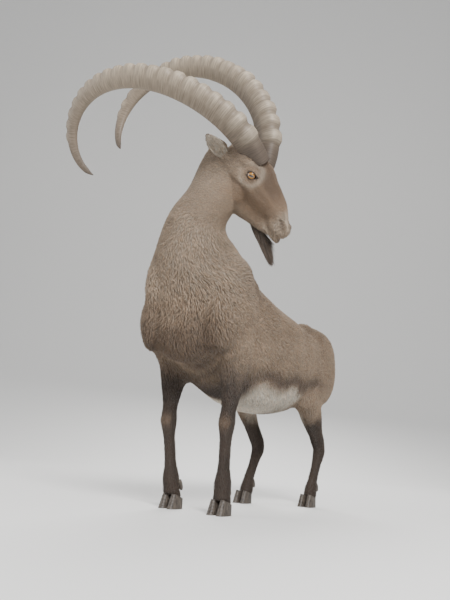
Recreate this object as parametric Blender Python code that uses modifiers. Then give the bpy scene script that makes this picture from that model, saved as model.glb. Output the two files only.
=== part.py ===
"""A life-size alpine ibex buck, standing with the head turned over its left shoulder.

Metres, +Z up. The animal faces -Y, its left side is +X, and the floor is Z = 0.
The flesh is modelled whole from lofts and muscle masses, fused, and parted with thin cuts.
"""

import math
import random

import bmesh
import bpy
import numpy as np
from mathutils import Matrix, Vector

# Driving dimensions
WITHERS_HEIGHT = 0.88
CROUP_HEIGHT = 0.757
THIGH_LENGTH = 0.250
SHANK_LENGTH = 0.290
HEAD_SIZE = 1.12
HORN_LENGTH = 1.04
HEAD_CENTRE = Vector((0.241, -0.392, 1.104))
HEAD_YAW = math.radians(109)
HEAD_PITCH = math.radians(54)
HEAD_ROLL = math.radians(30)
GAP = 0.0003
SIDES = {"left": 1, "right": -1}

# Resolution of the fused flesh, and how many triangles stay of it
BODY_VOXEL = 0.0075
HEAD_VOXEL = 0.0036
BODY_FACES = 4340
HEAD_FACES = 2500
CUT_REACH = 0.6
LEAST_SHELL = 30

# Finishes as colour and roughness
COAT = ((0.42, 0.36, 0.29), 0.85)
DARK_COAT = ((0.07, 0.05, 0.04), 0.8)
HORN = ((0.30, 0.25, 0.19), 0.6)
HOOF = ((0.08, 0.07, 0.06), 0.5)
EYE = ((0.45, 0.26, 0.06), 0.1)


def clear_scene():
    """Removes whatever the file opened with."""
    for thing in list(bpy.data.objects):
        bpy.data.objects.remove(thing)


def collection(name):
    """A new collection in the scene."""
    made = bpy.data.collections.new(name)
    bpy.context.scene.collection.children.link(made)
    return made


def material(name, finish):
    """A plain Principled finish."""
    colour, roughness = finish
    made = bpy.data.materials.new(name)
    made.use_nodes = True
    shader = made.node_tree.nodes["Principled BSDF"]
    shader.inputs["Base Color"].default_value = (*colour, 1)
    shader.inputs["Roughness"].default_value = roughness
    shader.inputs["Metallic"].default_value = 0
    return made


def head_frame():
    """Head frame to world: X runs to the muzzle, Y to the animal's left, Z out of the forehead."""
    ahead = Vector((math.sin(HEAD_YAW), -math.cos(HEAD_YAW), 0))
    left = Vector((math.cos(HEAD_YAW), math.sin(HEAD_YAW), 0))
    up = Vector((0, 0, 1))
    muzzle = ahead * math.cos(HEAD_PITCH) - up * math.sin(HEAD_PITCH)
    crown = ahead * math.sin(HEAD_PITCH) + up * math.cos(HEAD_PITCH)
    side = left * math.cos(HEAD_ROLL) + crown * math.sin(HEAD_ROLL)
    return Matrix((muzzle, side, muzzle.cross(side))).transposed()


HEAD_TURN = head_frame()


def in_head(point):
    """A point given in the head frame, in the world."""
    return HEAD_CENTRE + HEAD_TURN @ (Vector(point) * HEAD_SIZE)


def through(rows, steps):
    """A smooth Catmull-Rom curve through the rows of a table, steps points to a span."""
    rows = np.asarray(rows, float)
    ends = np.vstack([2 * rows[0] - rows[1], rows, 2 * rows[-1] - rows[-2]])
    t = np.linspace(0, 1, steps, endpoint=False)[:, None]
    spans = []
    for a, b, c, d in zip(ends, ends[1:], ends[2:], ends[3:]):
        spans.append(
            b
            + 0.5 * t * (c - a)
            + t**2 * (a - 2.5 * b + 2 * c - 0.5 * d)
            + t**3 * (1.5 * (b - c) + 0.5 * (d - a))
        )
    return np.vstack([*spans, rows[-1:]])


def unit(vectors):
    """Rows scaled to length one."""
    return vectors / np.maximum(np.linalg.norm(vectors, axis=-1, keepdims=True), 1e-12)


def new_object(name, points=(), faces=()):
    """A mesh object made from arrays."""
    mesh = bpy.data.meshes.new(name)
    mesh.from_pydata(np.asarray(points).tolist(), [], list(faces))
    made = bpy.data.objects.new(name, mesh)
    bpy.context.scene.collection.objects.link(made)
    return made


def tube(name, rings):
    """A closed mesh over rings of points, with a flat cap on each end."""
    count, sides = len(rings), len(rings[0])
    faces = []
    for i in range(count - 1):
        for j in range(sides):
            k = (j + 1) % sides
            faces.append((i * sides + j, i * sides + k, (i + 1) * sides + k, (i + 1) * sides + j))
    faces.append(tuple(reversed(range(sides))))
    faces.append(tuple(range((count - 1) * sides, count * sides)))
    made = new_object(name, np.reshape(rings, (-1, 3)), faces)
    shape = bmesh.new()
    shape.from_mesh(made.data)
    bmesh.ops.recalc_face_normals(shape, faces=shape.faces)
    shape.to_mesh(made.data)
    shape.free()
    return made


def loft(name, stations, hints, sides=24, steps=5, corner=2.0):
    """A tube through stations of (x, y, z, half width, half depth).

    Each ring is a superellipse of power `corner`, square to the path. `hints` gives the direction
    that the depth points in, one for all the rings or one for each station.
    """
    rows = through(stations, steps)
    hints = np.asarray(hints, float)
    hints = np.tile(hints, (len(rows), 1)) if hints.ndim == 1 else through(hints, steps)
    along = unit(np.gradient(rows[:, :3], axis=0))
    across = unit(np.cross(hints, along))
    deep = unit(np.cross(along, across))
    angles = np.linspace(0, 2 * np.pi, sides, endpoint=False)
    cosine, sine = np.cos(angles), np.sin(angles)
    scale = (np.abs(cosine) ** corner + np.abs(sine) ** corner) ** (-1 / corner)
    rings = (
        rows[:, None, :3]
        + across[:, None] * (rows[:, 3, None] * cosine * scale)[..., None]
        + deep[:, None] * (rows[:, 4, None] * sine * scale)[..., None]
    )
    return tube(name, rings)


def ellipsoid(name, centre, radii, turn=None, segments=24):
    """A muscle mass or an eyeball: a sphere scaled and turned."""
    made = new_object(name)
    shape = bmesh.new()
    bmesh.ops.create_uvsphere(shape, u_segments=segments, v_segments=segments // 2, radius=1)
    place = Matrix.Translation(Vector(centre)) @ (turn or Matrix.Identity(3)).to_4x4()
    bmesh.ops.transform(shape, matrix=place @ Matrix.Diagonal((*radii, 1)), verts=shape.verts)
    shape.to_mesh(made.data)
    shape.free()
    return made


def tilt(degrees, axis):
    """A rotation about an axis."""
    return Matrix.Rotation(math.radians(degrees), 3, axis)


def slab(name, point, normal, reach, thickness=GAP, spin="Y"):
    """A thin square sheet through a point: what it cuts is left with a gap."""
    made = new_object(name)
    shape = bmesh.new()
    bmesh.ops.create_cube(shape, size=1)
    turn = Vector(normal).to_track_quat("Z", spin).to_matrix().to_4x4()
    size = reach if isinstance(reach, tuple) else (2 * reach, 2 * reach)
    matrix = Matrix.Translation(Vector(point)) @ turn @ Matrix.Diagonal((*size, thickness, 1))
    bmesh.ops.transform(shape, matrix=matrix, verts=shape.verts)
    shape.to_mesh(made.data)
    shape.free()
    return made


def beyond(name, point, normal, reach, start=0.0):
    """A block that begins at a plane through the point and runs on along its normal."""
    normal = Vector(normal).normalized()
    middle = Vector(point) + normal * (start + reach)
    return slab(name, middle, normal, reach, 2 * reach)


def apply_modifiers(thing):
    """Replaces an object's mesh by its evaluated one."""
    bpy.context.view_layer.update()
    graph = bpy.context.evaluated_depsgraph_get()
    made = bpy.data.meshes.new_from_object(thing.evaluated_get(graph))
    thing.modifiers.clear()
    thing.data = made
    return thing


def remove(things):
    """Deletes helpers once they have been used."""
    for thing in things:
        bpy.data.objects.remove(thing)


def joined(name, things):
    """One object that holds every piece as a loose shell. The pieces are removed."""
    shape = bmesh.new()
    for thing in things:
        shape.from_mesh(thing.data)
    made = new_object(name)
    shape.to_mesh(made.data)
    shape.free()
    remove(things)
    return made


def points_of(thing):
    """Vertex positions as rows."""
    flat = np.empty(len(thing.data.vertices) * 3)
    thing.data.vertices.foreach_get("co", flat)
    return flat.reshape(-1, 3)


def set_points(thing, points):
    """Moves the vertices to these rows."""
    thing.data.vertices.foreach_set("co", np.asarray(points, float).ravel())
    thing.data.update()


def normals_of(thing):
    """Vertex normals as rows."""
    flat = np.empty(len(thing.data.vertices) * 3)
    thing.data.vertex_normals.foreach_get("vector", flat)
    return flat.reshape(-1, 3)


def relax(thing, rounds, back=-0.61, share=1):
    """Taubin smoothing: softens creases and keeps the volume. A share below 1 holds a point back."""
    ends = np.empty(len(thing.data.edges) * 2, int)
    thing.data.edges.foreach_get("vertices", ends)
    a, b = ends.reshape(-1, 2).T
    points = points_of(thing)
    count = np.bincount(np.concatenate([a, b]), minlength=len(points))[:, None]
    for factor in (0.6, back) * rounds:
        total = np.zeros_like(points)
        for axis in range(3):
            total[:, axis] = np.bincount(a, points[b, axis], len(points))
            total[:, axis] += np.bincount(b, points[a, axis], len(points))
        points = points + share * factor * (total / count - points)
    set_points(thing, points)


def fuse(name, things, voxel, rounds):
    """Joins overlapping masses into one even skin and softens where they meet."""
    made = joined(name, things)
    remesh = made.modifiers.new("fuse", "REMESH")
    remesh.mode = "VOXEL"
    remesh.voxel_size = voxel
    apply_modifiers(made)
    relax(made, rounds)
    return made


def distance_to(points, line):
    """How far each point is from a polyline."""
    best = np.full(len(points), np.inf)
    for a, b in zip(line, line[1:]):
        share = np.clip((points - a) @ (b - a) / ((b - a) @ (b - a)), 0, 1)
        best = np.minimum(best, np.linalg.norm(points - a - share[:, None] * (b - a), axis=1))
    return best


def stroke(thing, line, width, height):
    """A soft ridge, or a groove where height is below zero, along a curve through a few points."""
    points = points_of(thing)
    line = through(line, 6)
    fall = np.exp(-((distance_to(points, line) / width) ** 2))
    set_points(thing, points + normals_of(thing) * (height * fall)[:, None])


def decimate(thing, faces):
    """Collapses a fine skin to about this many triangles."""
    thing.data.calc_loop_triangles()
    made = thing.modifiers.new("decimate", "DECIMATE")
    made.ratio = min(1, faces / len(thing.data.loop_triangles))
    return apply_modifiers(thing)


def combine(thing, others, operation):
    """Booleans with closed meshes, applied one by one. The others are removed."""
    for other in others:
        made = thing.modifiers.new(operation, "BOOLEAN")
        made.operation = operation
        made.solver = "EXACT"
        made.object = other
        apply_modifiers(thing)
    remove(others)
    return thing


def united(name, things):
    """One body from a list of overlapping closed bodies, by one Boolean union on a collection."""
    first = things[0]
    first.name = name
    others = things[1:]
    gathered = bpy.data.collections.new(name + "_pieces")
    for other in others:
        gathered.objects.link(other)
    made = first.modifiers.new("union", "BOOLEAN")
    made.operation = "UNION"
    made.operand_type = "COLLECTION"
    made.solver = "EXACT"
    made.collection = gathered
    apply_modifiers(first)
    remove(others)
    bpy.data.collections.remove(gathered)
    return first


def shells_of(shape):
    """The connected surfaces of a bmesh, as sets of vertices."""
    left = set(shape.verts)
    shells = []
    while left:
        seed = left.pop()
        shell, edge = {seed}, [seed]
        while edge:
            for link in edge.pop().link_edges:
                for other in link.verts:
                    if other in left:
                        left.remove(other)
                        shell.add(other)
                        edge.append(other)
        shells.append(shell)
    return shells


def kept_shell(thing, name, near=None):
    """A copy with one connected surface: the largest, or the tightest one round a point."""
    shape = bmesh.new()
    shape.from_mesh(thing.data)
    bmesh.ops.remove_doubles(shape, verts=shape.verts, dist=1e-6)
    shells = [shell for shell in shells_of(shape) if len(shell) > LEAST_SHELL]
    keep = max(shells, key=len)
    if near is not None:
        tightest = np.inf
        for shell in shells:
            places = np.array([vertex.co for vertex in shell])
            low, high = places.min(axis=0), places.max(axis=0)
            if np.all(low <= near) and np.all(near <= high) and np.prod(high - low) < tightest:
                keep, tightest = shell, np.prod(high - low)
    bmesh.ops.delete(shape, geom=[v for v in shape.verts if v not in keep], context="VERTS")
    made = new_object(name)
    shape.to_mesh(made.data)
    shape.free()
    return made


def copy_of(thing, name):
    """A separate object with its own mesh."""
    made = bpy.data.objects.new(name, thing.data.copy())
    bpy.context.scene.collection.objects.link(made)
    return made


def grown(thing, amount=GAP):
    """A copy whose surface stands out by the amount, so that what it cuts keeps a gap."""
    made = copy_of(thing, thing.name + "_grown")
    set_points(made, points_of(made) + normals_of(made) * amount)
    return made


# Trunk: stations of (y, top, bottom, half width), from the breast to the buttocks
TRUNK = (
    (-0.465, 0.690, 0.590, 0.080),
    (-0.430, 0.765, 0.515, 0.135),
    (-0.360, 0.830, 0.462, 0.165),
    (-0.260, WITHERS_HEIGHT - 0.010, 0.425, 0.172),
    (-0.150, WITHERS_HEIGHT - 0.045, 0.382, 0.182),
    (-0.020, WITHERS_HEIGHT - 0.090, 0.352, 0.200),
    (0.110, CROUP_HEIGHT + 0.010, 0.346, 0.206),
    (0.230, CROUP_HEIGHT + 0.000, 0.378, 0.192),
    (0.340, CROUP_HEIGHT, 0.455, 0.168),
    (0.440, CROUP_HEIGHT - 0.014, 0.510, 0.138),
    (0.520, CROUP_HEIGHT - 0.060, 0.545, 0.105),
    (0.560, CROUP_HEIGHT - 0.110, 0.580, 0.070),
)

# Neck: stations of (x, y, z, half width, half depth, share of the head's turn)
NECK = (
    (0.000, -0.235, 0.630, 0.130, 0.205, 0.00),
    (-0.006, -0.312, 0.745, 0.170, 0.190, 0.05),
    (-0.012, -0.368, 0.855, 0.160, 0.152, 0.20),
    (0.006, -0.404, 0.955, 0.118, 0.122, 0.45),
    (0.064, -0.416, 1.050, 0.085, 0.102, 0.75),
)
NECK_END = ((-0.130, 0, -0.052, 0.066, 0.078), (-0.075, 0, -0.040, 0.056, 0.060))

# Forelegs: stations of (height, half width, half depth), from above the elbow to the coronet
FORELEG = (
    (0.570, 0.048, 0.090),
    (0.500, 0.050, 0.080),
    (0.450, 0.046, 0.066),
    (0.390, 0.037, 0.047),
    (0.340, 0.029, 0.034),
    (0.312, 0.031, 0.034),
    (0.288, 0.032, 0.035),
    (0.262, 0.026, 0.029),
    (0.220, 0.021, 0.025),
    (0.160, 0.020, 0.025),
    (0.120, 0.025, 0.030),
    (0.096, 0.030, 0.034),
    (0.072, 0.029, 0.031),
    (0.045, 0.032, 0.034),
    (0.012, 0.033, 0.036),
)
FORELEG_HEIGHTS = (0.0, 0.29, 0.56)
# Where each foreleg stands: x and y of its hoof, knee and elbow
FORE_STANCE = {
    "left": ((0.112, -0.292), (0.116, -0.298), (0.125, -0.275)),
    "right": ((-0.088, -0.288), (-0.122, -0.305), (-0.132, -0.280)),
}

# Hind legs: x and y of the hip, hock and hoof, x of the stifle, and the hock's height
HIND_STANCE = {
    "left": ((0.095, 0.400), (0.102, 0.462), (0.104, 0.362), 0.138, 0.234),
    "right": ((-0.095, 0.372), (-0.106, 0.306), (-0.100, 0.196), -0.146, 0.224),
}
HIP_HEIGHT = 0.612
CANNON = ((1.0, 0.026, 0.034), (0.88, 0.025, 0.030), (0.7, 0.020, 0.024), (0.45, 0.021, 0.024),
          (0.28, 0.027, 0.031), (0.16, 0.027, 0.029), (0.05, 0.030, 0.032), (-0.06, 0.031, 0.034))

# Where the flesh is parted
HEAD_CUT = ((0, 0, -0.137), (-0.158, 0, 0.987))
NECK_CUT = ((0, -0.255, 0.885), (0, -0.72, 0.70))
TAIL_CUT = ((0, 0.574, 0.640), (0, 1, 0))
ELBOW_CUT = 0.495
ELBOW_REACH = (-0.46, -0.185)
BRISKET_CUT = 0.068
KNEE_CUT = 0.302
CORONET = 0.038
CORONET_SLOPE = 0.32


def trunk_masses():
    """The barrel, with the withers, breast, shoulders, hip bones and haunches."""
    rows = [(0, y, (top + low) / 2, wide, (top - low) / 2) for y, top, low, wide in TRUNK]
    made = [loft("barrel", rows, (0, 0, 1), sides=32, corner=2.15)]
    made.append(ellipsoid("withers", (0, -0.215, 0.790), (0.070, 0.150, 0.090)))
    made.append(ellipsoid("breast", (0, -0.395, 0.565), (0.130, 0.095, 0.090)))
    for side, sign in SIDES.items():
        shoulder = [
            (sign * 0.085, -0.215, 0.820, 0.040, 0.070),
            (sign * 0.122, -0.275, 0.745, 0.052, 0.098),
            (sign * 0.138, -0.335, 0.675, 0.058, 0.110),
            (sign * 0.135, -0.375, 0.610, 0.060, 0.098),
            (sign * 0.128, -0.350, 0.545, 0.052, 0.090),
        ]
        made.append(loft("shoulder_" + side, shoulder, (0, 1, 0.4), sides=20))
        blade = (sign * 0.128, -0.335, 0.750)
        made.append(ellipsoid("blade_" + side, blade, (0.074, 0.098, 0.120), tilt(-20, "X")))
        upper_arm = (sign * 0.132, -0.300, 0.555)
        made.append(ellipsoid("upper_arm_" + side, upper_arm, (0.056, 0.100, 0.070), tilt(38, "X")))
        made.append(ellipsoid("hip_bone_" + side, (sign * 0.098, 0.275, 0.690), (0.045, 0.070, 0.055)))
        made.append(ellipsoid("haunch_" + side, (sign * 0.095, 0.400, 0.605), (0.078, 0.135, 0.130)))
        made.append(ellipsoid("buttock_" + side, (sign * 0.066, 0.500, 0.585), (0.058, 0.070, 0.100)))
    made.append(ellipsoid("neck_root", (-0.112, -0.372, 0.815), (0.074, 0.104, 0.185), tilt(-24, "X")))
    return made


def neck_masses():
    """The neck, from deep in the shoulders to inside the skull."""
    rows, hints = [], []
    for x, y, z, wide, deep, share in NECK:
        rows.append((x, y, z, wide, deep))
        hints.append((-math.sin(share * HEAD_YAW), math.cos(share * HEAD_YAW), 0.2))
    for x, y, z, wide, deep in NECK_END:
        rows.append((*in_head((x, y, z)), wide, deep))
        hints.append((-math.sin(HEAD_YAW), math.cos(HEAD_YAW), 0.2))
    return [loft("neck_core", rows, hints, sides=28)]


def foreleg_masses(side):
    """One foreleg: the stance bends the line from elbow to knee to hoof."""
    places = np.array(FORE_STANCE[side])
    rows = []
    for z, wide, deep in FORELEG:
        x, y = (np.interp(z, FORELEG_HEIGHTS, places[:, axis]) for axis in (0, 1))
        rows.append((x, y, z, wide, deep))
    leg = loft("foreleg_" + side, rows, (0, -1, 0), sides=18, steps=4)
    elbow_x, elbow_y = places[2]
    elbow = ellipsoid("elbow_" + side, (elbow_x, elbow_y + 0.052, 0.505), (0.034, 0.040, 0.050))
    return [leg, elbow]


def between(a, b, share):
    """A point part of the way from one to another."""
    return tuple(Vector(a).lerp(Vector(b), share))


def hindleg_joints(side):
    """Hip, stifle, hock and hoof. The stifle lies where a thigh and a shank of true length meet."""
    hip_at, hock_at, hoof_at, stifle_x, hock_height = HIND_STANCE[side]
    hip, hock = Vector((*hip_at, HIP_HEIGHT)), Vector((*hock_at, hock_height))
    run = Vector((0, hock.y - hip.y, hock.z - hip.z))
    share = (THIGH_LENGTH**2 - SHANK_LENGTH**2 + run.length**2) / (2 * run.length)
    bend = math.sqrt(THIGH_LENGTH**2 - share**2)
    run.normalize()
    stifle = hip + run * share + Vector((0, run.z, -run.y)) * bend
    return hip, Vector((stifle_x, stifle.y, stifle.z)), hock, Vector((*hoof_at, 0))


def hindleg_masses(side):
    """One hind leg: thigh, shank, heel tendon and cannon."""
    sign = SIDES[side]
    hip, stifle, hock, hoof = hindleg_joints(side)
    outward = Vector((sign * 0.012, 0, 0))
    back = Vector((0, 1, 0))
    thigh = [
        (*(hip + Vector((0, 0.02, 0.08))), 0.060, 0.110),
        (*(hip + outward - back * 0.02), 0.074, 0.140),
        (*(hip.lerp(stifle, 0.5) + outward + back * 0.02), 0.070, 0.120),
        (*(stifle + Vector((0, 0.030, 0.020))), 0.058, 0.082),
        (*(stifle + Vector((0, 0.050, -0.030))), 0.044, 0.060),
    ]
    shank = [
        (*(stifle + Vector((0, 0, 0.040))), 0.050, 0.056),
        (*(stifle + Vector((0, 0.020, -0.008))), 0.052, 0.060),
        (*(stifle.lerp(hock, 0.34) + Vector((0, 0.006, 0))), 0.045, 0.054),
        (*stifle.lerp(hock, 0.68), 0.032, 0.037),
        (*(hock + Vector((0, -0.016, 0.014))), 0.028, 0.034),
    ]
    tendon = [
        (*(stifle.lerp(hock, 0.40) + Vector((0, 0.026, 0.012))), 0.028, 0.034),
        (*(stifle.lerp(hock, 0.72) + Vector((0, 0.016, 0.012))), 0.020, 0.024),
        (*(hock + Vector((0, 0.014, 0.022))), 0.018, 0.020),
        (*(hock + Vector((0, 0.010, -0.012))), 0.018, 0.020),
    ]
    fetlock = Vector((hoof.x, hoof.y + 0.034, 0.100))
    line = []
    for share, wide, deep in CANNON:
        height = share * hock.z
        if height > fetlock.z:
            place = fetlock.lerp(hock, (height - fetlock.z) / (hock.z - fetlock.z))
        else:
            place = hoof.lerp(fetlock, height / fetlock.z)
        line.append((place.x, place.y, height, wide, deep))
    return [
        loft("thigh_" + side, thigh, (0, -1, 0.2), sides=22),
        loft("shank_" + side, shank, (0, -1, 0), sides=18),
        loft("tendon_" + side, tendon, (0, -1, 0), sides=12),
        loft("hind_cannon_" + side, line, (0, -1, 0), sides=18, steps=4),
    ]


def tail_masses():
    """The short tail, held down against the rump."""
    rows = [
        (0, 0.520, 0.675, 0.034, 0.026),
        (0.002, 0.572, 0.660, 0.026, 0.020),
        (0.004, 0.604, 0.618, 0.026, 0.018),
        (0.005, 0.614, 0.565, 0.022, 0.015),
        (0.005, 0.612, 0.520, 0.008, 0.007),
    ]
    return [loft("tail", rows, (0, 1, 0.5), sides=14)]


# Skull and upper jaw in the head frame: stations of (x, top, bottom, half width)
SKULL = (
    (-0.138, -0.004, -0.080, 0.036),
    (-0.108, 0.026, -0.092, 0.057),
    (-0.072, 0.046, -0.092, 0.064),
    (-0.035, 0.052, -0.082, 0.062),
    (0.000, 0.048, -0.074, 0.056),
    (0.034, 0.037, -0.068, 0.049),
    (0.067, 0.030, -0.064, 0.042),
    (0.100, 0.022, -0.062, 0.037),
    (0.133, 0.012, -0.062, 0.034),
    (0.161, 0.000, -0.063, 0.032),
    (0.182, -0.010, -0.062, 0.029),
    (0.196, -0.020, -0.058, 0.024),
    (0.204, -0.031, -0.052, 0.013),
)
# Lower jaw: the same columns
JAW = (
    (-0.070, -0.050, -0.108, 0.036),
    (-0.040, -0.045, -0.132, 0.044),
    (-0.005, -0.045, -0.141, 0.042),
    (0.034, -0.045, -0.137, 0.037),
    (0.072, -0.045, -0.127, 0.032),
    (0.105, -0.045, -0.117, 0.029),
    (0.134, -0.045, -0.104, 0.028),
    (0.158, -0.050, -0.093, 0.025),
    (0.178, -0.056, -0.083, 0.020),
    (0.190, -0.060, -0.075, 0.011),
)
EYE_RADIUS = 0.0170
EYE_AT = (0.002, 0.0430, 0.006)
EYE_LOOKS = (0.42, 0.90, 0.14)
EYE_OPENING = (0.0165, 0.0092)
HORN_ROOT = (-0.056, 0.0355, 0.046)
HORN_SEAT = ((-0.058, 0.036, 0.042), (-0.42, 0.20, 0.88))
EAR_ROOT = (-0.108, 0.054, -0.026)
EAR_POINTS = (-0.42, 0.84, 0.30)
EAR_LENGTH = 0.100
EAR_WIDTH = 0.050
BEARD_ROOT = (0.115, 0, -0.100)
BEARD_LENGTH = 0.130
BEARD_LOCKS = 11
BEARD_SEED = 7


def mirrored(point, sign):
    """A head-frame point or direction on the left, or its mirror on the right."""
    return (point[0], point[1] * sign, point[2])


def head_loft(name, table, sides, corner):
    """A loft along the head, square to the head frame's X."""
    rows = []
    for x, top, low, wide in table:
        half = (top - low) / 2
        rows.append((*in_head((x, 0, (top + low) / 2)), wide * HEAD_SIZE, half * HEAD_SIZE))
    return loft(name, rows, tuple(HEAD_TURN.col[2]), sides=sides, corner=corner)


def head_ball(name, centre, radii, turn=None):
    """An ellipsoid placed and turned in the head frame."""
    whole = HEAD_TURN @ (turn or Matrix.Identity(3))
    return ellipsoid(name, in_head(centre), Vector(radii) * HEAD_SIZE, whole)


def head_masses():
    """Skull, jaw, cheeks, brows, lips and the seats of the horns and ears."""
    made = [head_loft("skull", SKULL, 28, 2.25), head_loft("jaw", JAW, 20, 2.2)]
    made.append(head_ball("nose", (0.185, 0, -0.024), (0.018, 0.015, 0.013)))
    made.append(head_ball("chin", (0.166, 0, -0.080), (0.022, 0.018, 0.013)))
    for side, sign in SIDES.items():
        eye = mirrored(EYE_AT, sign)
        masses = (
            ("cheek", (-0.024, 0.034, -0.074), (0.056, 0.026, 0.056), 0),
            ("brow", (-0.004, 0.0435, 0.019), (0.032, 0.0150, 0.015), 0),
            ("cheekbone", (0.016, 0.042, -0.016), (0.034, 0.013, 0.016), -18),
            ("horn_seat", (-0.054, 0.034, 0.027), (0.056, 0.036, 0.036), 0),
            ("nostril_rim", (0.178, 0.019, -0.023), (0.017, 0.011, 0.013), 0),
            ("lip", (0.154, 0.021, -0.046), (0.036, 0.013, 0.017), 0),
            ("ear_seat", (-0.100, 0.044, -0.022), (0.028, 0.026, 0.026), 0),
        )
        for name, centre, radii, spin in masses:
            made.append(head_ball(f"{name}_{side}", mirrored(centre, sign), radii, tilt(sign * spin, "Z")))
        made.append(head_ball("lids_" + side, eye, (0.0205, 0.0190, 0.0185)))
    return made


def head_line(thing, points, width, height):
    """A stroke on both sides of the head, through points of the head frame."""
    for sign in SIDES.values():
        line = [in_head(mirrored(point, sign)) for point in points]
        stroke(thing, line, width, height)


def shape_head(thing):
    """The mouth line, nostrils, lids, cheekbone and tear line."""
    mouth = ((0.203, 0.004, -0.058), (0.188, 0.021, -0.064), (0.158, 0.031, -0.066), (0.126, 0.034, -0.058))
    head_line(thing, mouth, 0.0045, -0.0046)
    nostril = ((0.200, 0.008, -0.032), (0.195, 0.018, -0.022), (0.183, 0.027, -0.017))
    head_line(thing, nostril, 0.0048, -0.0062)
    head_line(thing, ((0.202, 0.002, -0.028), (0.204, 0.002, -0.056)), 0.003, -0.0018)
    head_line(thing, ((0.040, 0.052, -0.014), (0.065, 0.047, -0.012), (0.100, 0.040, -0.014)), 0.010, -0.0025)
    head_line(thing, ((-0.040, 0.062, -0.040), (0.010, 0.057, -0.034), (0.050, 0.050, -0.034)), 0.008, 0.0022)
    under_cheek = ((-0.010, 0.052, -0.062), (0.040, 0.044, -0.062), (0.090, 0.036, -0.060))
    head_line(thing, under_cheek, 0.012, -0.0030)


def shape_body(thing):
    """The folds of the breast, the flank and the lines between the muscles."""
    points = points_of(thing)
    relax(thing, 14, 0, np.clip((points[:, 2:] - 0.40) / 0.12, 0, 1))
    for sign in SIDES.values():
        lines = (
            (((0.03, -0.485, 0.525), (0.09, -0.455, 0.505), (0.15, -0.40, 0.490)), 0.018, -0.006),
            (((0.19, -0.205, 0.74), (0.20, -0.215, 0.64), (0.18, -0.210, 0.54)), 0.026, -0.008),
            (((0.18, 0.185, 0.70), (0.20, 0.135, 0.60), (0.18, 0.100, 0.47)), 0.034, -0.007),
        )
        for line, width, height in lines:
            stroke(thing, [(x * sign, y, z) for x, y, z in line], width, height)
    stroke(thing, [(0, -0.50, 0.68), (0, -0.49, 0.60), (0, -0.45, 0.52)], 0.014, -0.006)


def eyeball(side):
    """An eyeball, with the clear dome in front a little fuller."""
    centre = in_head(mirrored(EYE_AT, SIDES[side]))
    return ellipsoid("eye_" + side, centre, (EYE_RADIUS * HEAD_SIZE,) * 3, HEAD_TURN, 16)


def lid_opening(side):
    """The almond between the lids, as a cone that opens outwards from the eye's middle."""
    sign = SIDES[side]
    look = (HEAD_TURN @ Vector(mirrored(EYE_LOOKS, sign))).normalized()
    centre = in_head(mirrored(EYE_AT, sign))
    long = HEAD_TURN @ Vector((1, 0, -0.18))
    long = (long - look * long.dot(look)).normalized()
    high = look.cross(long).normalized()
    rings = []
    for reach, scale in ((0.004, 0.35), (EYE_RADIUS * HEAD_SIZE, 1.0), (0.032, 1.7)):
        ring = []
        for i in range(16):
            angle = 2 * math.pi * i / 16
            across = math.cos(angle)
            height = math.sin(angle) * (1 - 0.35 * across * across)
            ring.append(
                centre
                + look * reach
                + long * (EYE_OPENING[0] * scale * across)
                + high * (EYE_OPENING[1] * scale * height)
            )
        rings.append(ring)
    return tube("lid_opening_" + side, [[tuple(p) for p in ring] for ring in rings])


# Horn curve: its angle above the skull's line and its spread, as polynomials of the share of its
# length, and how much more of each the left horn has than the right, from the middle of the two
HORN_RISE = (35.1, -238.6, 306.2, -300.5)
HORN_SPREAD = (24.3, -47.3, 0.5)
UNEVEN_RISE = (8.9, -13.5, -11.1, 19.2)
UNEVEN_SPREAD = (-8.4, -22.1, 29.9)
HORN_RIDGES = 20
HORN_RIDGED = (0.02, 0.86)
HORN_SIDES = 10
HORN_SUNK = 0.045


def horn_path(sign, count=240):
    """Points and frames along a horn: the path turns by two angles that change along its length."""
    step = HORN_LENGTH / count
    share = np.arange(-int(HORN_SUNK / step), count + 1) / count
    powers = share[:, None] ** np.arange(4)
    rise = np.radians(powers @ (np.array(HORN_RISE) + sign * np.array(UNEVEN_RISE)))
    spread = np.radians(powers[:, :3] @ (np.array(HORN_SPREAD) + sign * np.array(UNEVEN_SPREAD)))
    along = np.stack(
        [-np.cos(rise) * np.cos(spread), sign * np.sin(spread), np.sin(rise) * np.cos(spread)], axis=1
    )
    middle = (along[1:] + along[:-1]) / 2
    places = np.vstack([np.zeros(3), np.cumsum(middle, axis=0)]) * step
    places += np.array(mirrored(HORN_ROOT, sign)) * HEAD_SIZE - places[np.argmin(np.abs(share))]
    side = np.array((0.0, 1.0, 0.0)) - along * along[:, 1:2]
    side = unit(side)
    front = unit(np.cross(along, side))
    turn = np.array(HEAD_TURN)
    return share, places @ turn.T + np.array(HEAD_CENTRE), along @ turn.T, side @ turn.T, -front @ turn.T


def horn_rings():
    """Shares of the length where a ring stands, with how far it rises on a ridge from 0 to 1."""
    first, last = HORN_RIDGED
    rings = [(-HORN_SUNK / HORN_LENGTH, 0.2)]
    for i in range(HORN_RIDGES):
        start = first + (last - first) * (i / HORN_RIDGES) ** 0.92
        end = first + (last - first) * ((i + 1) / HORN_RIDGES) ** 0.92
        rings += [(start, 0.0), (start + 0.40 * (end - start), 1.0), (start + 0.74 * (end - start), 0.8)]
    rings += [(share, 0.0) for share in (0.875, 0.91, 0.945, 0.97, 0.99, 0.9985)]
    return rings


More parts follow.
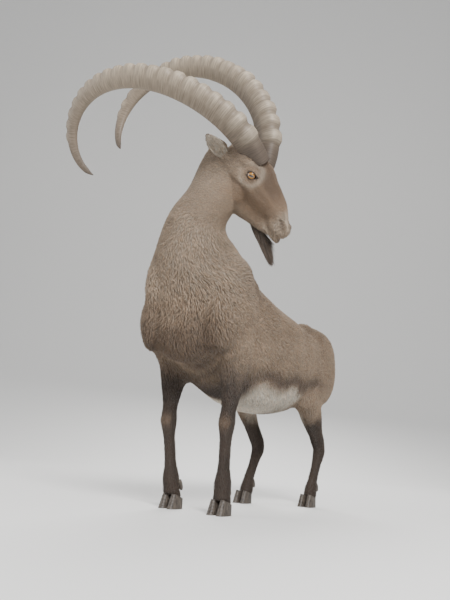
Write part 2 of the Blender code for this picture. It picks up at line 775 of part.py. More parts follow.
def horn(side):
    """One horn: a rounded triangle swept along the curve, with knobs across its front."""
    sign = SIDES[side]
    share, places, _, across, front = horn_path(sign)
    angles = np.linspace(0, 2 * np.pi, HORN_SIDES, endpoint=False) + np.pi / HORN_SIDES
    corner = 2.7
    scale = (np.abs(np.cos(angles)) ** corner + np.abs(np.sin(angles)) ** corner) ** (-1 / corner)
    wide, deep = np.cos(angles) * scale, np.sin(angles) * scale
    wide = wide * (1 - 0.26 * np.clip(-deep, 0, 1))
    knob = np.clip(0.35 + 0.9 * np.sin(angles), 0, 1)
    rings = []
    for at, rise in horn_rings():
        held = np.clip(at, 0, 1)
        taper = (1 - held**1.9) ** 0.72
        half_wide = 0.0050 + 0.0265 * taper
        half_deep = 0.0050 + 0.0385 * taper
        bump = 0.0085 * rise * (0.35 + 0.65 * taper)
        centre, lateral, ahead = (
            np.array([np.interp(at, share, values[:, axis]) for axis in range(3)])
            for values in (places, across, front)
        )
        fade = min(1, (1 - held) / 0.03) ** 0.5
        ring = (
            centre
            + lateral * ((half_wide + 0.30 * bump * knob) * wide * fade)[:, None]
            + ahead * ((half_deep * deep + bump * knob) * fade)[:, None]
        )
        rings.append(ring)
    made = tube("horn_" + side, rings)
    point, normal = HORN_SEAT
    up = HEAD_TURN @ Vector(mirrored(normal, sign))
    seat = beyond("seat", in_head(mirrored(point, sign)), -up, 0.3, -GAP)
    return combine(made, [seat], "DIFFERENCE")


def ear(side):
    """One ear: a cupped leaf, rolled into a tube at its root."""
    sign = SIDES[side]
    root = in_head(mirrored(EAR_ROOT, sign))
    along = (HEAD_TURN @ Vector(mirrored(EAR_POINTS, sign))).normalized()
    opens = HEAD_TURN @ Vector(mirrored((0.75, 0.62, -0.10), sign))
    opens = (opens - along * opens.dot(along)).normalized()
    across = along.cross(opens)
    rings = []
    for share in (-0.16, 0.0, 0.10, 0.22, 0.36, 0.50, 0.64, 0.77, 0.88, 0.95, 0.99):
        leaf = math.sin(math.pi * min(1, 0.16 + 0.84 * max(share, 0)) ** 0.92) ** 0.75
        half = EAR_WIDTH / 2 * max(leaf, 0.10)
        cup = half * (0.95 - 0.35 * share)
        wall = 0.0050 - 0.0022 * share
        hollow = min(1, max(0, (share - 0.02) / 0.16))
        middle = root + along * (share * EAR_LENGTH) - across * 0 - opens * (0.012 * share**2)
        ring = []
        for i in range(9):
            angle = math.pi * i / 8
            ring.append(middle - across * (half * math.cos(angle)) - opens * (cup * math.sin(angle)))
        for i in range(1, 8):
            angle = math.pi * (8 - i) / 8
            inner_half, inner_cup = half - wall, (cup - wall) * hollow - (1 - hollow) * cup * 0.8
            ring.append(
                middle
                - across * (inner_half * math.cos(angle))
                - opens * (inner_cup * math.sin(angle))
            )
        rings.append([tuple(p) for p in ring])
    made = tube("ear_" + side, rings)
    seat = beyond("seat", root, -along, 0.1)
    return combine(made, [seat], "DIFFERENCE")


def ear_seat_cut(side):
    """What is taken off the head so that the ear's root stands on a flat."""
    sign = SIDES[side]
    along = HEAD_TURN @ Vector(mirrored(EAR_POINTS, sign))
    return beyond("ear_cut_" + side, in_head(mirrored(EAR_ROOT, sign)), along, 0.022, -GAP)


def horn_seat_cut(side):
    """What is taken off the head so that the horn stands on a flat."""
    sign = SIDES[side]
    point, normal = HORN_SEAT
    up = HEAD_TURN @ Vector(mirrored(normal, sign))
    return beyond("horn_cut_" + side, in_head(mirrored(point, sign)), up, 0.09)


def hair_lock(name, line, wide, thick, across):
    """One flat lock: six-sided sections along a bending line, tapering to a thin blunt tip."""
    rings = []
    points = through([tuple(point) for point in line], 2)
    last = len(points) - 1
    for i, point in enumerate(points):
        here = Vector(point)
        along = (Vector(points[min(i + 1, last)]) - Vector(points[max(i - 1, 0)])).normalized()
        side = (across - along * across.dot(along)).normalized()
        out = along.cross(side)
        share = i / last
        if share < 0.4:
            half = wide * (0.35 + 1.5 * share)
        else:
            half = wide * (0.95 * (1 - ((share - 0.4) / 0.6) ** 1.6) + 0.06)
        deep = thick * (1 - 0.75 * share)
        ring = []
        for turn in range(6):
            angle = 2 * math.pi * (turn + 0.5) / 6
            ring.append(here + side * half * math.cos(angle) + out * deep * math.sin(angle))
        rings.append(ring)
    return tube(name, rings)


def beard():
    """The beard: flat tapered locks that hang and bend from under the chin, round a short core."""
    draw = random.Random(BEARD_SEED)
    root = in_head(BEARD_ROOT)
    ahead = Vector(HEAD_TURN.col[0])
    ahead = Vector((ahead.x, ahead.y, 0)).normalized()
    aside = Vector((-ahead.y, ahead.x, 0))
    rows = []
    core = ((-0.034, 0.013, 0.026), (0.0, 0.014, 0.026), (0.024, 0.010, 0.019), (0.046, 0.004, 0.008))
    for drop, wide, deep in core:
        rows.append((*(root + ahead * 0.1 * drop - Vector((0, 0, drop))), wide, deep))
    made = [loft("beard_core", rows, tuple(ahead), sides=8, steps=2)]
    for i in range(BEARD_LOCKS):
        turn = 2 * math.pi * (i + 0.5 + draw.uniform(-0.25, 0.25)) / BEARD_LOCKS
        inner = i % 2
        reach = (0.55 if inner else 0.95)
        start = root + ahead * 0.022 * reach * math.cos(turn) + aside * 0.011 * reach * math.sin(turn)
        long = BEARD_LENGTH * (1.0 if inner else 0.84) * draw.uniform(0.88, 1.0)
        drift = ahead * draw.uniform(-0.004, 0.004) + aside * draw.uniform(-0.005, 0.005)
        sweep = ahead * 0.018
        pull = (root - start) * 0.55
        line = []
        for share, lean in ((-0.20, 0.0), (0.10, 0.0), (0.40, 0.25), (0.72, 0.62), (1.0, 1.0)):
            bow = (start - root).normalized() * 0.006 * math.sin(math.pi * max(share, 0))
            line.append(start - Vector((0, 0, long * share)) + (sweep + drift + pull) * lean + bow)
        across = (aside * math.cos(turn) - ahead * math.sin(turn)).normalized()
        across = (across + ahead * draw.uniform(-0.3, 0.3)).normalized()
        made.append(hair_lock(f"lock_{i}", line, draw.uniform(0.0095, 0.0120), 0.0034, across))
    return united("chin_hair", made)


def coronet_plane(foot):
    """The slanted plane where the hair ends and the horn of the hoof begins."""
    return (foot.x, foot.y, CORONET), (0, CORONET_SLOPE, 1)


def feet():
    """The middle of each foot on the floor, and how its toes are turned."""
    placed = {}
    for side in SIDES:
        x, y = FORE_STANCE[side][0]
        placed["fore_" + side] = (Vector((x, y - 0.004, 0)), 0.034)
        x, y, _ = hindleg_joints(side)[3]
        placed["hind_" + side] = (Vector((x, y - 0.004, 0)), 0.031)
    return placed


def toe(name, foot, half_width, sign):
    """One of the two hooves of a foot: a wedge with a flat sole and a rounded toe."""
    rings = []
    for height, grow in ((0.0, 1.0), (0.012, 0.98), (0.040, 0.88), (0.070, 0.80)):
        front = -0.043 * grow + 0.22 * height
        rear = 0.027 - 0.10 * height
        ring = []
        for i in range(12):
            angle = 2 * math.pi * i / 12
            x = math.cos(angle)
            y = math.sin(angle)
            blunt = (abs(x) ** 2.6 + abs(y) ** 2.6) ** (-1 / 2.6)
            wide = half_width * 0.5 * grow * (1 - 0.20 * max(0, -y))
            x_at = half_width * 0.53 + x * blunt * wide
            y_at = (front + rear) / 2 + y * blunt * (rear - front) / 2
            ring.append((foot.x + sign * max(x_at, 0.0012), foot.y + y_at, height))
        rings.append(ring)
    made = tube(name, rings)
    point, normal = coronet_plane(foot)
    return combine(made, [beyond("coronet", point, normal, 0.1)], "DIFFERENCE")


def dewclaw(name, foot, hind, sign):
    """One of the two small hooves behind the fetlock."""
    back = 0.056 if hind else 0.028
    start = Vector((foot.x + sign * 0.013, foot.y + back - 0.014, 0.090))
    end = Vector((foot.x + sign * 0.016, foot.y + back + 0.008, 0.056))
    rows = [(*start, 0.008, 0.009), (*between(start, end, 0.5), 0.0085, 0.0095), (*end, 0.004, 0.005)]
    return loft(name, rows, (0, 1, 0.3), sides=8, steps=2)


def plate(name, corners):
    """A thin flat sheet with this outline, a little oversize so that neighbours cross."""
    corners = np.asarray(corners, float)
    middle = corners.mean(axis=0)
    corners = middle + (corners - middle) * 1.01
    normal = unit(np.cross(corners[1] - corners[0], corners[2] - corners[1])) * GAP / 2
    return tube(name, [corners - normal, corners + normal])


def foreleg_cuts(side):
    """Three sheets round the top of a foreleg: over it, behind it and along the brisket."""
    sign = SIDES[side]
    inner, outer = sign * BRISKET_CUT, sign * 0.27
    front, rear = ELBOW_REACH
    top, low = ELBOW_CUT, 0.30
    return [
        plate(
            "elbow_cut_" + side,
            [(inner, front, top), (outer, front, top), (outer, rear, top), (inner, rear, top)],
        ),
        plate(
            "armpit_cut_" + side,
            [(inner, rear, low), (outer, rear, low), (outer, rear, top), (inner, rear, top)],
        ),
        plate(
            "brisket_cut_" + side,
            [(inner, front, low), (inner, rear, low), (inner, rear, top), (inner, front, top)],
        ),
    ]


def hindleg_cuts(side):
    """Sheets round the top of a hind leg: from the flank to the tail, and inside the thigh."""
    sign = SIDES[side]
    stifle = hindleg_joints(side)[1]
    front, split, rear = stifle.y - 0.085, stifle.y + 0.080, 0.600
    low, first, last = 0.20, stifle.z + 0.055, 0.640
    at_split = first + (last - first) * (split - front) / (rear - front)
    crotch, groin, outer = sign * 0.010, sign * 0.092, sign * 0.29
    return [
        plate(
            "haunch_cut_" + side,
            [(crotch, front, first), (outer, front, first), (outer, rear, last), (crotch, rear, last)],
        ),
        plate(
            "flank_cut_" + side,
            [(groin, front, low), (outer, front, low), (outer, front, first), (groin, front, first)],
        ),
        plate(
            "groin_cut_" + side,
            [(groin, front, low), (groin, split, low), (groin, split, at_split), (groin, front, first)],
        ),
        plate(
            "belly_cut_" + side,
            [(crotch, split, low), (groin, split, low), (groin, split, at_split), (crotch, split, at_split)],
        ),
        plate(
            "crotch_cut_" + side,
            [(crotch, split, low), (crotch, rear, low), (crotch, rear, last), (crotch, split, at_split)],
        ),
    ]


def body_cuts():
    """Thin sheets that part the trunk, neck, legs and tail."""
    cuts = [slab("neck_cut", *NECK_CUT, CUT_REACH), slab("tail_cut", *TAIL_CUT, 0.15)]
    for side in SIDES:
        cuts += foreleg_cuts(side) + hindleg_cuts(side)
        cuts.append(slab("knee_cut_" + side, (*FORE_STANCE[side][1], KNEE_CUT), (0, 0, 1), 0.060))
        hock = hindleg_joints(side)[2]
        cuts.append(slab("hock_cut_" + side, hock + Vector((0, 0, 0.004)), (0, -0.30, 1), 0.055))
    return cuts


def under_coronets():
    """What is taken off the legs below the hair line of each foot."""
    return [
        beyond("sole_" + name, Vector(coronet_plane(foot)[0]), -Vector(coronet_plane(foot)[1]), 0.06, -GAP)
        for name, (foot, _) in feet().items()
    ]


def named_shells():
    """A point inside each piece of the parted flesh."""
    inside = {"torso": (0, 0.05, 0.62), "neck": (0.03, -0.41, 0.95), "tail": (0.005, 0.606, 0.580)}
    for side in SIDES:
        x, y = FORE_STANCE[side][1]
        inside["foreleg_upper_" + side] = (x, y, 0.40)
        inside["foreleg_lower_" + side] = (*FORE_STANCE[side][1], 0.20)
        _, stifle, _, hoof = hindleg_joints(side)
        inside["hindleg_upper_" + side] = (stifle.x, stifle.y + 0.03, stifle.z)
        inside["hindleg_lower_" + side] = (hoof.x, hoof.y + 0.06, 0.13)
    return inside


def finish(thing, name, finish_of, body):
    """Names a piece, gives it its material and puts it in the object's collection."""
    thing.name = name
    thing.data.name = name
    thing.data.materials.clear()
    thing.data.materials.append(finish_of)
    thing.data.shade_smooth()
    for holder in list(thing.users_collection):
        holder.objects.unlink(thing)
    body.objects.link(thing)


def recentre(things):
    """Moves the whole animal so that the middle of its box on the floor is the origin."""
    low = np.min([points_of(thing).min(axis=0) for thing in things], axis=0)
    high = np.max([points_of(thing).max(axis=0) for thing in things], axis=0)
    shift = -(low + high) / 2 * (1, 1, 0)
    for thing in things:
        set_points(thing, points_of(thing) + shift)
    print("moved by", shift)


def main():
    clear_scene()
    body = collection("alpine_ibex")
    coat, dark = material("coat", COAT), material("dark_coat", DARK_COAT)
    horn_finish = material("horn", HORN)
    hoof_finish = material("hoof", HOOF)
    eye_finish = material("eye", EYE)

    masses = trunk_masses() + neck_masses() + tail_masses()
    for side in SIDES:
        masses += foreleg_masses(side) + hindleg_masses(side)
    flesh = fuse("flesh", masses, BODY_VOXEL, 60)
    shape_body(flesh)
    decimate(flesh, BODY_FACES)

    head_point, head_normal = in_head(HEAD_CUT[0]), HEAD_TURN @ Vector(HEAD_CUT[1])
    combine(flesh, [beyond("above_neck", head_point, head_normal, CUT_REACH, -GAP / 2)], "DIFFERENCE")
    combine(flesh, under_coronets(), "DIFFERENCE")

    hooves = {}
    claws = {}
    for name, (foot, half_width) in feet().items():
        for place, sign in (("inner", -1), ("outer", 1)):
            sign = sign if foot.x > 0 else -sign
            hooves[f"hoof_{name}_{place}"] = toe(f"hoof_{name}_{place}", foot, half_width, sign)
            claws[f"dewclaw_{name}_{place}"] = dewclaw(f"dewclaw_{name}_{place}", foot, "hind" in name, sign)
    combine(flesh, [grown(claw, 2 * GAP) for claw in claws.values()], "DIFFERENCE")
    combine(flesh, body_cuts(), "DIFFERENCE")
    for name, inside in named_shells().items():
        finish(kept_shell(flesh, name, np.array(inside)), name, dark if "lower" in name else coat, body)
    remove([flesh])

    head = fuse("head_flesh", head_masses() + neck_masses(), HEAD_VOXEL, 26)
    shape_head(head)
    combine(head, [beyond("below_head", head_point, -head_normal, CUT_REACH, 0.02)], "DIFFERENCE")
    decimate(head, HEAD_FACES)
    combine(head, [beyond("below_head", head_point, -head_normal, CUT_REACH, -GAP / 2)], "DIFFERENCE")
    for side in SIDES:
        ball = eyeball(side)
        combine(head, [grown(ball), lid_opening(side), ear_seat_cut(side), horn_seat_cut(side)], "DIFFERENCE")
        finish(ball, "eye_" + side, eye_finish, body)
        finish(horn(side), "horn_" + side, horn_finish, body)
        finish(ear(side), "ear_" + side, coat, body)
    chin_hair = beard()
    combine(chin_hair, [grown(head, 2 * GAP)], "DIFFERENCE")
    for thing, name, finish_of in ((chin_hair, "beard", dark), (head, "head", coat)):
        kept = kept_shell(thing, name)
        remove([thing])
        finish(kept, name, finish_of, body)
    for name, thing in {**hooves, **claws}.items():
        finish(thing, name, hoof_finish, body)
    recentre(list(body.objects))


main()
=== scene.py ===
"""The looks of a life-size alpine ibex: skin, coat, horns, eyes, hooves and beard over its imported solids."""

import math

import bmesh
import bpy
import numpy as np
from mathutils import Matrix, Vector
from mathutils.bvhtree import BVHTree


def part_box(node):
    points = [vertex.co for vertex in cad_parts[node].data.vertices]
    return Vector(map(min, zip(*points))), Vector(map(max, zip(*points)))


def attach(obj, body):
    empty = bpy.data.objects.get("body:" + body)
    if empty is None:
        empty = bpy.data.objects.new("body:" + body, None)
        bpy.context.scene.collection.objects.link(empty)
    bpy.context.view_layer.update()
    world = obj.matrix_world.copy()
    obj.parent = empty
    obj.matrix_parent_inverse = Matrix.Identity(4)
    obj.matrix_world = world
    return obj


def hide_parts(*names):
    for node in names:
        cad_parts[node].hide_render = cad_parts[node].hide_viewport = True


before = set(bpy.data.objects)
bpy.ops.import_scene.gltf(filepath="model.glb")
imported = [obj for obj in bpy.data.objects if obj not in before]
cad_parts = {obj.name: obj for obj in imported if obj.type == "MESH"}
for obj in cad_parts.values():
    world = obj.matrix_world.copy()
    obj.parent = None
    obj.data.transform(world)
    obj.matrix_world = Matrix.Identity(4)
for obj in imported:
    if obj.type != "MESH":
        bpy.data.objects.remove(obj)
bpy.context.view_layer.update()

# The solids stand with the middle of their box over the origin. The tables below are measured from
# the floor under the trunk, so this is added to every finished piece.
SHIFT = Vector((0.0378, 0.0603, 0.0))
HEAD_SIZE = 1.12
HORN_LENGTH = 1.04
HEAD_CENTRE = Vector((0.241, -0.392, 1.104)) + SHIFT
HEAD_YAW = math.radians(109)
HEAD_PITCH = math.radians(54)
HEAD_ROLL = math.radians(30)
SIDES = {"left": 1, "right": -1}
SEED = 20
COAT_TRIES = 520000
BEARD_HAIRS = 1500
# Side of a tuft's patch on the map
PATCH = 0.003
TUFT_LIMIT = 19500
HORN_SEAT = ((-0.058, 0.036, 0.042), (-0.42, 0.20, 0.88))


def head_frame():
    """Head frame to world: X runs to the muzzle, Y to the animal's left, Z out of the forehead."""
    ahead = Vector((math.sin(HEAD_YAW), -math.cos(HEAD_YAW), 0))
    left = Vector((math.cos(HEAD_YAW), math.sin(HEAD_YAW), 0))
    up = Vector((0, 0, 1))
    muzzle = ahead * math.cos(HEAD_PITCH) - up * math.sin(HEAD_PITCH)
    crown = ahead * math.sin(HEAD_PITCH) + up * math.cos(HEAD_PITCH)
    side = left * math.cos(HEAD_ROLL) + crown * math.sin(HEAD_ROLL)
    return np.array(Matrix((muzzle, side, muzzle.cross(side))).transposed())


TURN = head_frame()


def in_head(points):
    """World place of head-frame points: centre + turn times the point times the head's size."""
    return np.asarray(points, float) @ TURN.T * HEAD_SIZE + np.array(HEAD_CENTRE)


def to_head(points):
    """Head-frame place of world points, the inverse of in_head."""
    return (np.asarray(points, float) - np.array(HEAD_CENTRE)) @ TURN / HEAD_SIZE


def mirrored(points, sign):
    """Head-frame points of the left side, or their mirror on the right."""
    return np.asarray(points, float) * (1, sign, 1)


def unit(vectors):
    """Rows scaled to length one."""
    vectors = np.asarray(vectors, float)
    return vectors / np.maximum(np.linalg.norm(vectors, axis=-1, keepdims=True), 1e-12)


def step(low, high, values):
    """0 below low, 1 above high, and t*t*(3-2t) between, t being the share of the way."""
    t = np.clip((np.asarray(values, float) - low) / (high - low), 0, 1)
    return t * t * (3 - 2 * t)


def through(rows, steps):
    """A Catmull-Rom curve through the rows of a table, steps points to a span."""
    rows = np.asarray(rows, float)
    ends = np.vstack([2 * rows[0] - rows[1], rows, 2 * rows[-1] - rows[-2]])
    t = np.linspace(0, 1, steps, endpoint=False)[:, None]
    spans = [
        b
        + 0.5 * t * (c - a)
        + t**2 * (a - 2.5 * b + 2 * c - 0.5 * d)
        + t**3 * (1.5 * (b - c) + 0.5 * (d - a))
        for a, b, c, d in zip(ends, ends[1:], ends[2:], ends[3:])
    ]
    return np.vstack([*spans, rows[-1:]])


def new_piece(name, points, faces):
    """A mesh object from arrays, with its place in its mesh and its object at the origin."""
    mesh = bpy.data.meshes.new(name)
    if isinstance(faces, np.ndarray):
        faces = faces.tolist()
    mesh.from_pydata(np.asarray(points, float).tolist(), [], faces)
    mesh.validate()
    made = bpy.data.objects.new(name, mesh)
    bpy.context.scene.collection.objects.link(made)
    return made


def grid_faces(rows, columns, offset=0):
    """Quads of a grid whose columns close round: (i,j), (i,j+1), (i+1,j+1), (i+1,j)."""
    i, j = np.meshgrid(np.arange(rows - 1), np.arange(columns), indexing="ij")
    k = (j + 1) % columns
    quads = np.stack([i * columns + j, i * columns + k, (i + 1) * columns + k, (i + 1) * columns + j], -1)
    return quads.reshape(-1, 4) + offset


def capped(name, rings):
    """A closed piece over rings: the grid of the rings, with a fan to a middle point on each end."""
    rings = np.asarray(rings, float)
    count, sides = rings.shape[:2]
    points = np.vstack([rings.reshape(-1, 3), rings[0].mean(0), rings[-1].mean(0)])
    j = np.arange(sides)
    k = (j + 1) % sides
    first = np.stack([np.full(sides, count * sides), k, j], 1)
    last = np.stack([np.full(sides, count * sides + 1), (count - 1) * sides + j, (count - 1) * sides + k], 1)
    faces = grid_faces(count, sides).tolist() + first.tolist() + last.tolist()
    made = new_piece(name, points, faces)
    return facing_out(made)


def facing_out(thing):
    """Turns a closed piece's faces outwards."""
    shape = bmesh.new()
    shape.from_mesh(thing.data)
    bmesh.ops.recalc_face_normals(shape, faces=shape.faces)
    shape.to_mesh(thing.data)
    shape.free()
    return thing


def loft(name, stations, hints, sides=32, steps=8, corner=2.0):
    """A tube along stations of (x, y, z, half width, half depth).

    Ring(a) = path + across*width*cos(a)*s(a) + deep*depth*sin(a)*s(a), a superellipse whose s(a) is
    (|cos a|^c + |sin a|^c)^(-1/c). `hints` says where the depth points.
    """
    rows = through(stations, steps)
    hints = np.asarray(hints, float)
    hints = np.tile(hints, (len(rows), 1)) if hints.ndim == 1 else through(hints, steps)
    along = unit(np.gradient(rows[:, :3], axis=0))
    across = unit(np.cross(hints, along))
    deep = unit(np.cross(along, across))
    angles = np.linspace(0, 2 * np.pi, sides, endpoint=False)
    cosine, sine = np.cos(angles), np.sin(angles)
    scale = (np.abs(cosine) ** corner + np.abs(sine) ** corner) ** (-1 / corner)
    rings = (
        rows[:, None, :3]
        + across[:, None] * (rows[:, 3, None] * cosine * scale)[..., None]
        + deep[:, None] * (rows[:, 4, None] * sine * scale)[..., None]
    )
    return capped(name, rings)


def ball(name, centre, radii, turn=None, columns=32, rows=20):
    """A turned ellipsoid: centre + turn*(rx cos u sin v, ry sin u sin v, rz cos v)."""
    u = np.linspace(0, 2 * np.pi, columns, endpoint=False)
    v = np.linspace(0, np.pi, rows + 2)[1:-1]
    places = np.stack(
        [
            np.outer(np.sin(v), np.cos(u)),
            np.outer(np.sin(v), np.sin(u)),
            np.outer(np.cos(v), np.ones(columns)),
        ],
        -1,
    )
    turn = np.eye(3) if turn is None else np.asarray(turn)
    rings = (places * np.asarray(radii)) @ turn.T + np.asarray(centre)
    return capped(name, rings)


def apply_modifiers(thing):
    """Replaces a mesh by its evaluated one."""
    bpy.context.view_layer.update()
    graph = bpy.context.evaluated_depsgraph_get()
    made = bpy.data.meshes.new_from_object(thing.evaluated_get(graph))
    thing.modifiers.clear()
    thing.data = made
    return thing


def joined(name, things):
    """One object holding every piece as a loose shell. The pieces are removed."""
    shape = bmesh.new()
    for thing in things:
        shape.from_mesh(thing.data)
    mesh = bpy.data.meshes.new(name)
    shape.to_mesh(mesh)
    shape.free()
    made = bpy.data.objects.new(name, mesh)
    bpy.context.scene.collection.objects.link(made)
    for thing in things:
        bpy.data.objects.remove(thing)
    return made


def points_of(thing):
    """Vertex positions as rows."""
    flat = np.empty(len(thing.data.vertices) * 3)
    thing.data.vertices.foreach_get("co", flat)
    return flat.reshape(-1, 3)


def set_points(thing, points):
    """Moves the vertices to these rows."""
    thing.data.vertices.foreach_set("co", np.asarray(points, float).ravel())
    thing.data.update()


def normals_of(thing):
    """Vertex normals as rows."""
    flat = np.empty(len(thing.data.vertices) * 3)
    thing.data.vertex_normals.foreach_get("vector", flat)
    return flat.reshape(-1, 3)


def relax(thing, rounds, back=-0.62, share=1.0):
    """Laplacian steps out and back: p += f*(mean of neighbours - p), f = 0.6 and then `back`."""
    ends = np.empty(len(thing.data.edges) * 2, int)
    thing.data.edges.foreach_get("vertices", ends)
    a, b = ends.reshape(-1, 2).T
    points = points_of(thing)
    count = np.bincount(np.concatenate([a, b]), minlength=len(points))[:, None]
    for factor in (0.6, back) * rounds:
        total = np.zeros_like(points)
        for axis in range(3):
            total[:, axis] = np.bincount(a, points[b, axis], len(points))
            total[:, axis] += np.bincount(b, points[a, axis], len(points))
        points = points + share * factor * (total / count - points)
    set_points(thing, points)


def fuse(name, things, voxel, rounds):
    """Overlapping closed masses become one even skin, softened where they meet."""
    made = joined(name, things)
    remesh = made.modifiers.new("fuse", "REMESH")
    remesh.mode = "VOXEL"
    remesh.voxel_size = voxel
    apply_modifiers(made)
    relax(made, rounds)
    return made


def distance_to(points, line):
    """How far each point is from a polyline, and the share of the line's length at the nearest place."""
    best = np.full(len(points), np.inf)
    share = np.zeros(len(points))
    for i, (a, b) in enumerate(zip(line, line[1:])):
        t = np.clip((points - a) @ (b - a) / ((b - a) @ (b - a)), 0, 1)
        away = np.linalg.norm(points - a - t[:, None] * (b - a), axis=1)
        nearer = away < best
        best[nearer] = away[nearer]
        share[nearer] = ((i + t) / (len(line) - 1))[nearer]
    return best, share


def stroke(thing, line, width, height):
    """A soft ridge, or a groove below zero: points move along their normal by height*exp(-(d/width)^2).

    It fades over the first and last fifth of the line.
    """
    points = points_of(thing)
    line = through(line, 8)
    low, high = line.min(0) - 3 * width, line.max(0) + 3 * width
    near = ((points > low) & (points < high)).all(1)
    away, share = distance_to(points[near], line)
    fade = step(-0.02, 0.22, share) * step(-0.02, 0.22, 1 - share)
    fall = height * np.exp(-((away / width) ** 2)) * (0.15 + 0.85 * fade)
    moved = points.copy()
    moved[near] += normals_of(thing)[near] * fall[:, None]
    set_points(thing, moved)

# Skull and upper jaw in the head frame: stations of (x, top, bottom, half width)
SKULL = (
    (-0.138, -0.004, -0.080, 0.036),
    (-0.108, 0.026, -0.092, 0.057),
    (-0.072, 0.046, -0.092, 0.064),
    (-0.035, 0.052, -0.082, 0.062),
    (0.000, 0.048, -0.074, 0.056),
    (0.034, 0.037, -0.068, 0.049),
    (0.067, 0.030, -0.064, 0.042),
    (0.100, 0.022, -0.062, 0.037),
    (0.133, 0.012, -0.062, 0.034),
    (0.161, 0.000, -0.063, 0.032),
    (0.182, -0.010, -0.062, 0.029),
    (0.196, -0.020, -0.058, 0.024),
    (0.204, -0.031, -0.052, 0.013),
)
# Lower jaw: the same columns
JAW = (
    (-0.070, -0.050, -0.108, 0.036),
    (-0.040, -0.045, -0.132, 0.044),
    (-0.005, -0.045, -0.141, 0.042),
    (0.034, -0.045, -0.137, 0.037),
    (0.072, -0.045, -0.127, 0.032),
    (0.105, -0.045, -0.117, 0.029),
    (0.134, -0.045, -0.104, 0.028),
    (0.158, -0.050, -0.093, 0.025),
    (0.178, -0.056, -0.083, 0.020),
    (0.190, -0.060, -0.075, 0.011),
)
# Neck: stations of (x, y, z, half width, half depth, share of the head's turn)
NECK = (
    (-0.006, -0.312, 0.745, 0.120, 0.120, 0.05),
    (-0.012, -0.368, 0.855, 0.150, 0.142, 0.20),
    (0.006, -0.404, 0.955, 0.118, 0.122, 0.45),
    (0.064, -0.416, 1.050, 0.085, 0.102, 0.75),
)
NECK_END = ((-0.130, 0, -0.052, 0.066, 0.078), (-0.075, 0, -0.040, 0.056, 0.060))
EYE_RADIUS = 0.0170
EYE_AT = (0.002, 0.0430, 0.006)
EYE_LOOKS = (0.42, 0.90, 0.14)
EYE_OPENING = (0.0165, 0.0092)
EAR_ROOT = (-0.108, 0.054, -0.026)
EAR_POINTS = (-0.42, 0.84, 0.30)
EAR_LENGTH = 0.100
EAR_WIDTH = 0.050
HORN_ROOT = (-0.056, 0.0355, 0.046)
BODY_VOXEL = 0.0080
HEAD_VOXEL = 0.0026
FLESH = ("torso", "neck", "tail", "foreleg_upper_left", "foreleg_lower_left", "foreleg_upper_right",
         "foreleg_lower_right", "hindleg_upper_left", "hindleg_lower_left", "hindleg_upper_right",
         "hindleg_lower_right")


MOUTH = ((0.206, 0.003, -0.064), (0.194, 0.018, -0.069), (0.170, 0.028, -0.070), (0.146, 0.033, -0.067),
         (0.122, 0.035, -0.060))
NOSTRIL = ((0.182, 0.0290, -0.0235), (0.170, 0.0305, -0.0185), (0.158, 0.0305, -0.0185))
# Lower lip, nose edge, tear line, cheekbone, cheek hollow and jaw fold: (path, width, height)
FACE_LINES = (
    (((0.188, 0.014, -0.074), (0.162, 0.026, -0.077), (0.130, 0.031, -0.070)), 0.006, 0.0018),
    (((0.195, 0.009, -0.014), (0.187, 0.020, -0.009), (0.173, 0.027, -0.010)), 0.005, 0.0018),
    (((0.040, 0.050, -0.010), (0.065, 0.045, -0.010), (0.100, 0.038, -0.014)), 0.010, -0.0025),
    (((-0.040, 0.062, -0.036), (0.010, 0.055, -0.030), (0.050, 0.048, -0.030)), 0.009, 0.0030),
    (((-0.010, 0.052, -0.062), (0.040, 0.044, -0.062), (0.090, 0.036, -0.060)), 0.012, -0.0030),
    (((-0.066, 0.060, -0.050), (-0.064, 0.058, -0.090), (-0.050, 0.044, -0.124)), 0.012, -0.0045),
)


def neck_core(name, grown):
    """The neck's upper length, from the shoulders' top to inside the skull."""
    rows, hints = [], []
    for x, y, z, wide, deep, share in NECK:
        rows.append((x + SHIFT.x, y + SHIFT.y, z, wide + grown, deep + grown))
        hints.append((-math.sin(share * HEAD_YAW), math.cos(share * HEAD_YAW), 0.2))
    for x, y, z, wide, deep in NECK_END:
        rows.append((*in_head((x, y, z)), wide + grown, deep + grown))
        hints.append((-math.sin(HEAD_YAW), math.cos(HEAD_YAW), 0.2))
    return loft(name, rows, hints, sides=40)


def head_loft(name, table, corner):
    """A loft along the head, square to the head frame's X."""
    rows = [
        (*in_head((x, 0, (top + low) / 2)), wide * HEAD_SIZE, (top - low) / 2 * HEAD_SIZE)
        for x, top, low, wide in table
    ]
    return loft(name, rows, tuple(TURN[:, 2]), sides=48, corner=corner)


def head_ball(name, centre, radii, sign=1, spin=0.0):
    """An ellipsoid placed in the head frame, spun about the head's Z."""
    turned = TURN @ np.array(Matrix.Rotation(math.radians(sign * spin), 3, "Z"))
    return ball(name, in_head(mirrored(centre, sign)), np.array(radii) * HEAD_SIZE, turned)


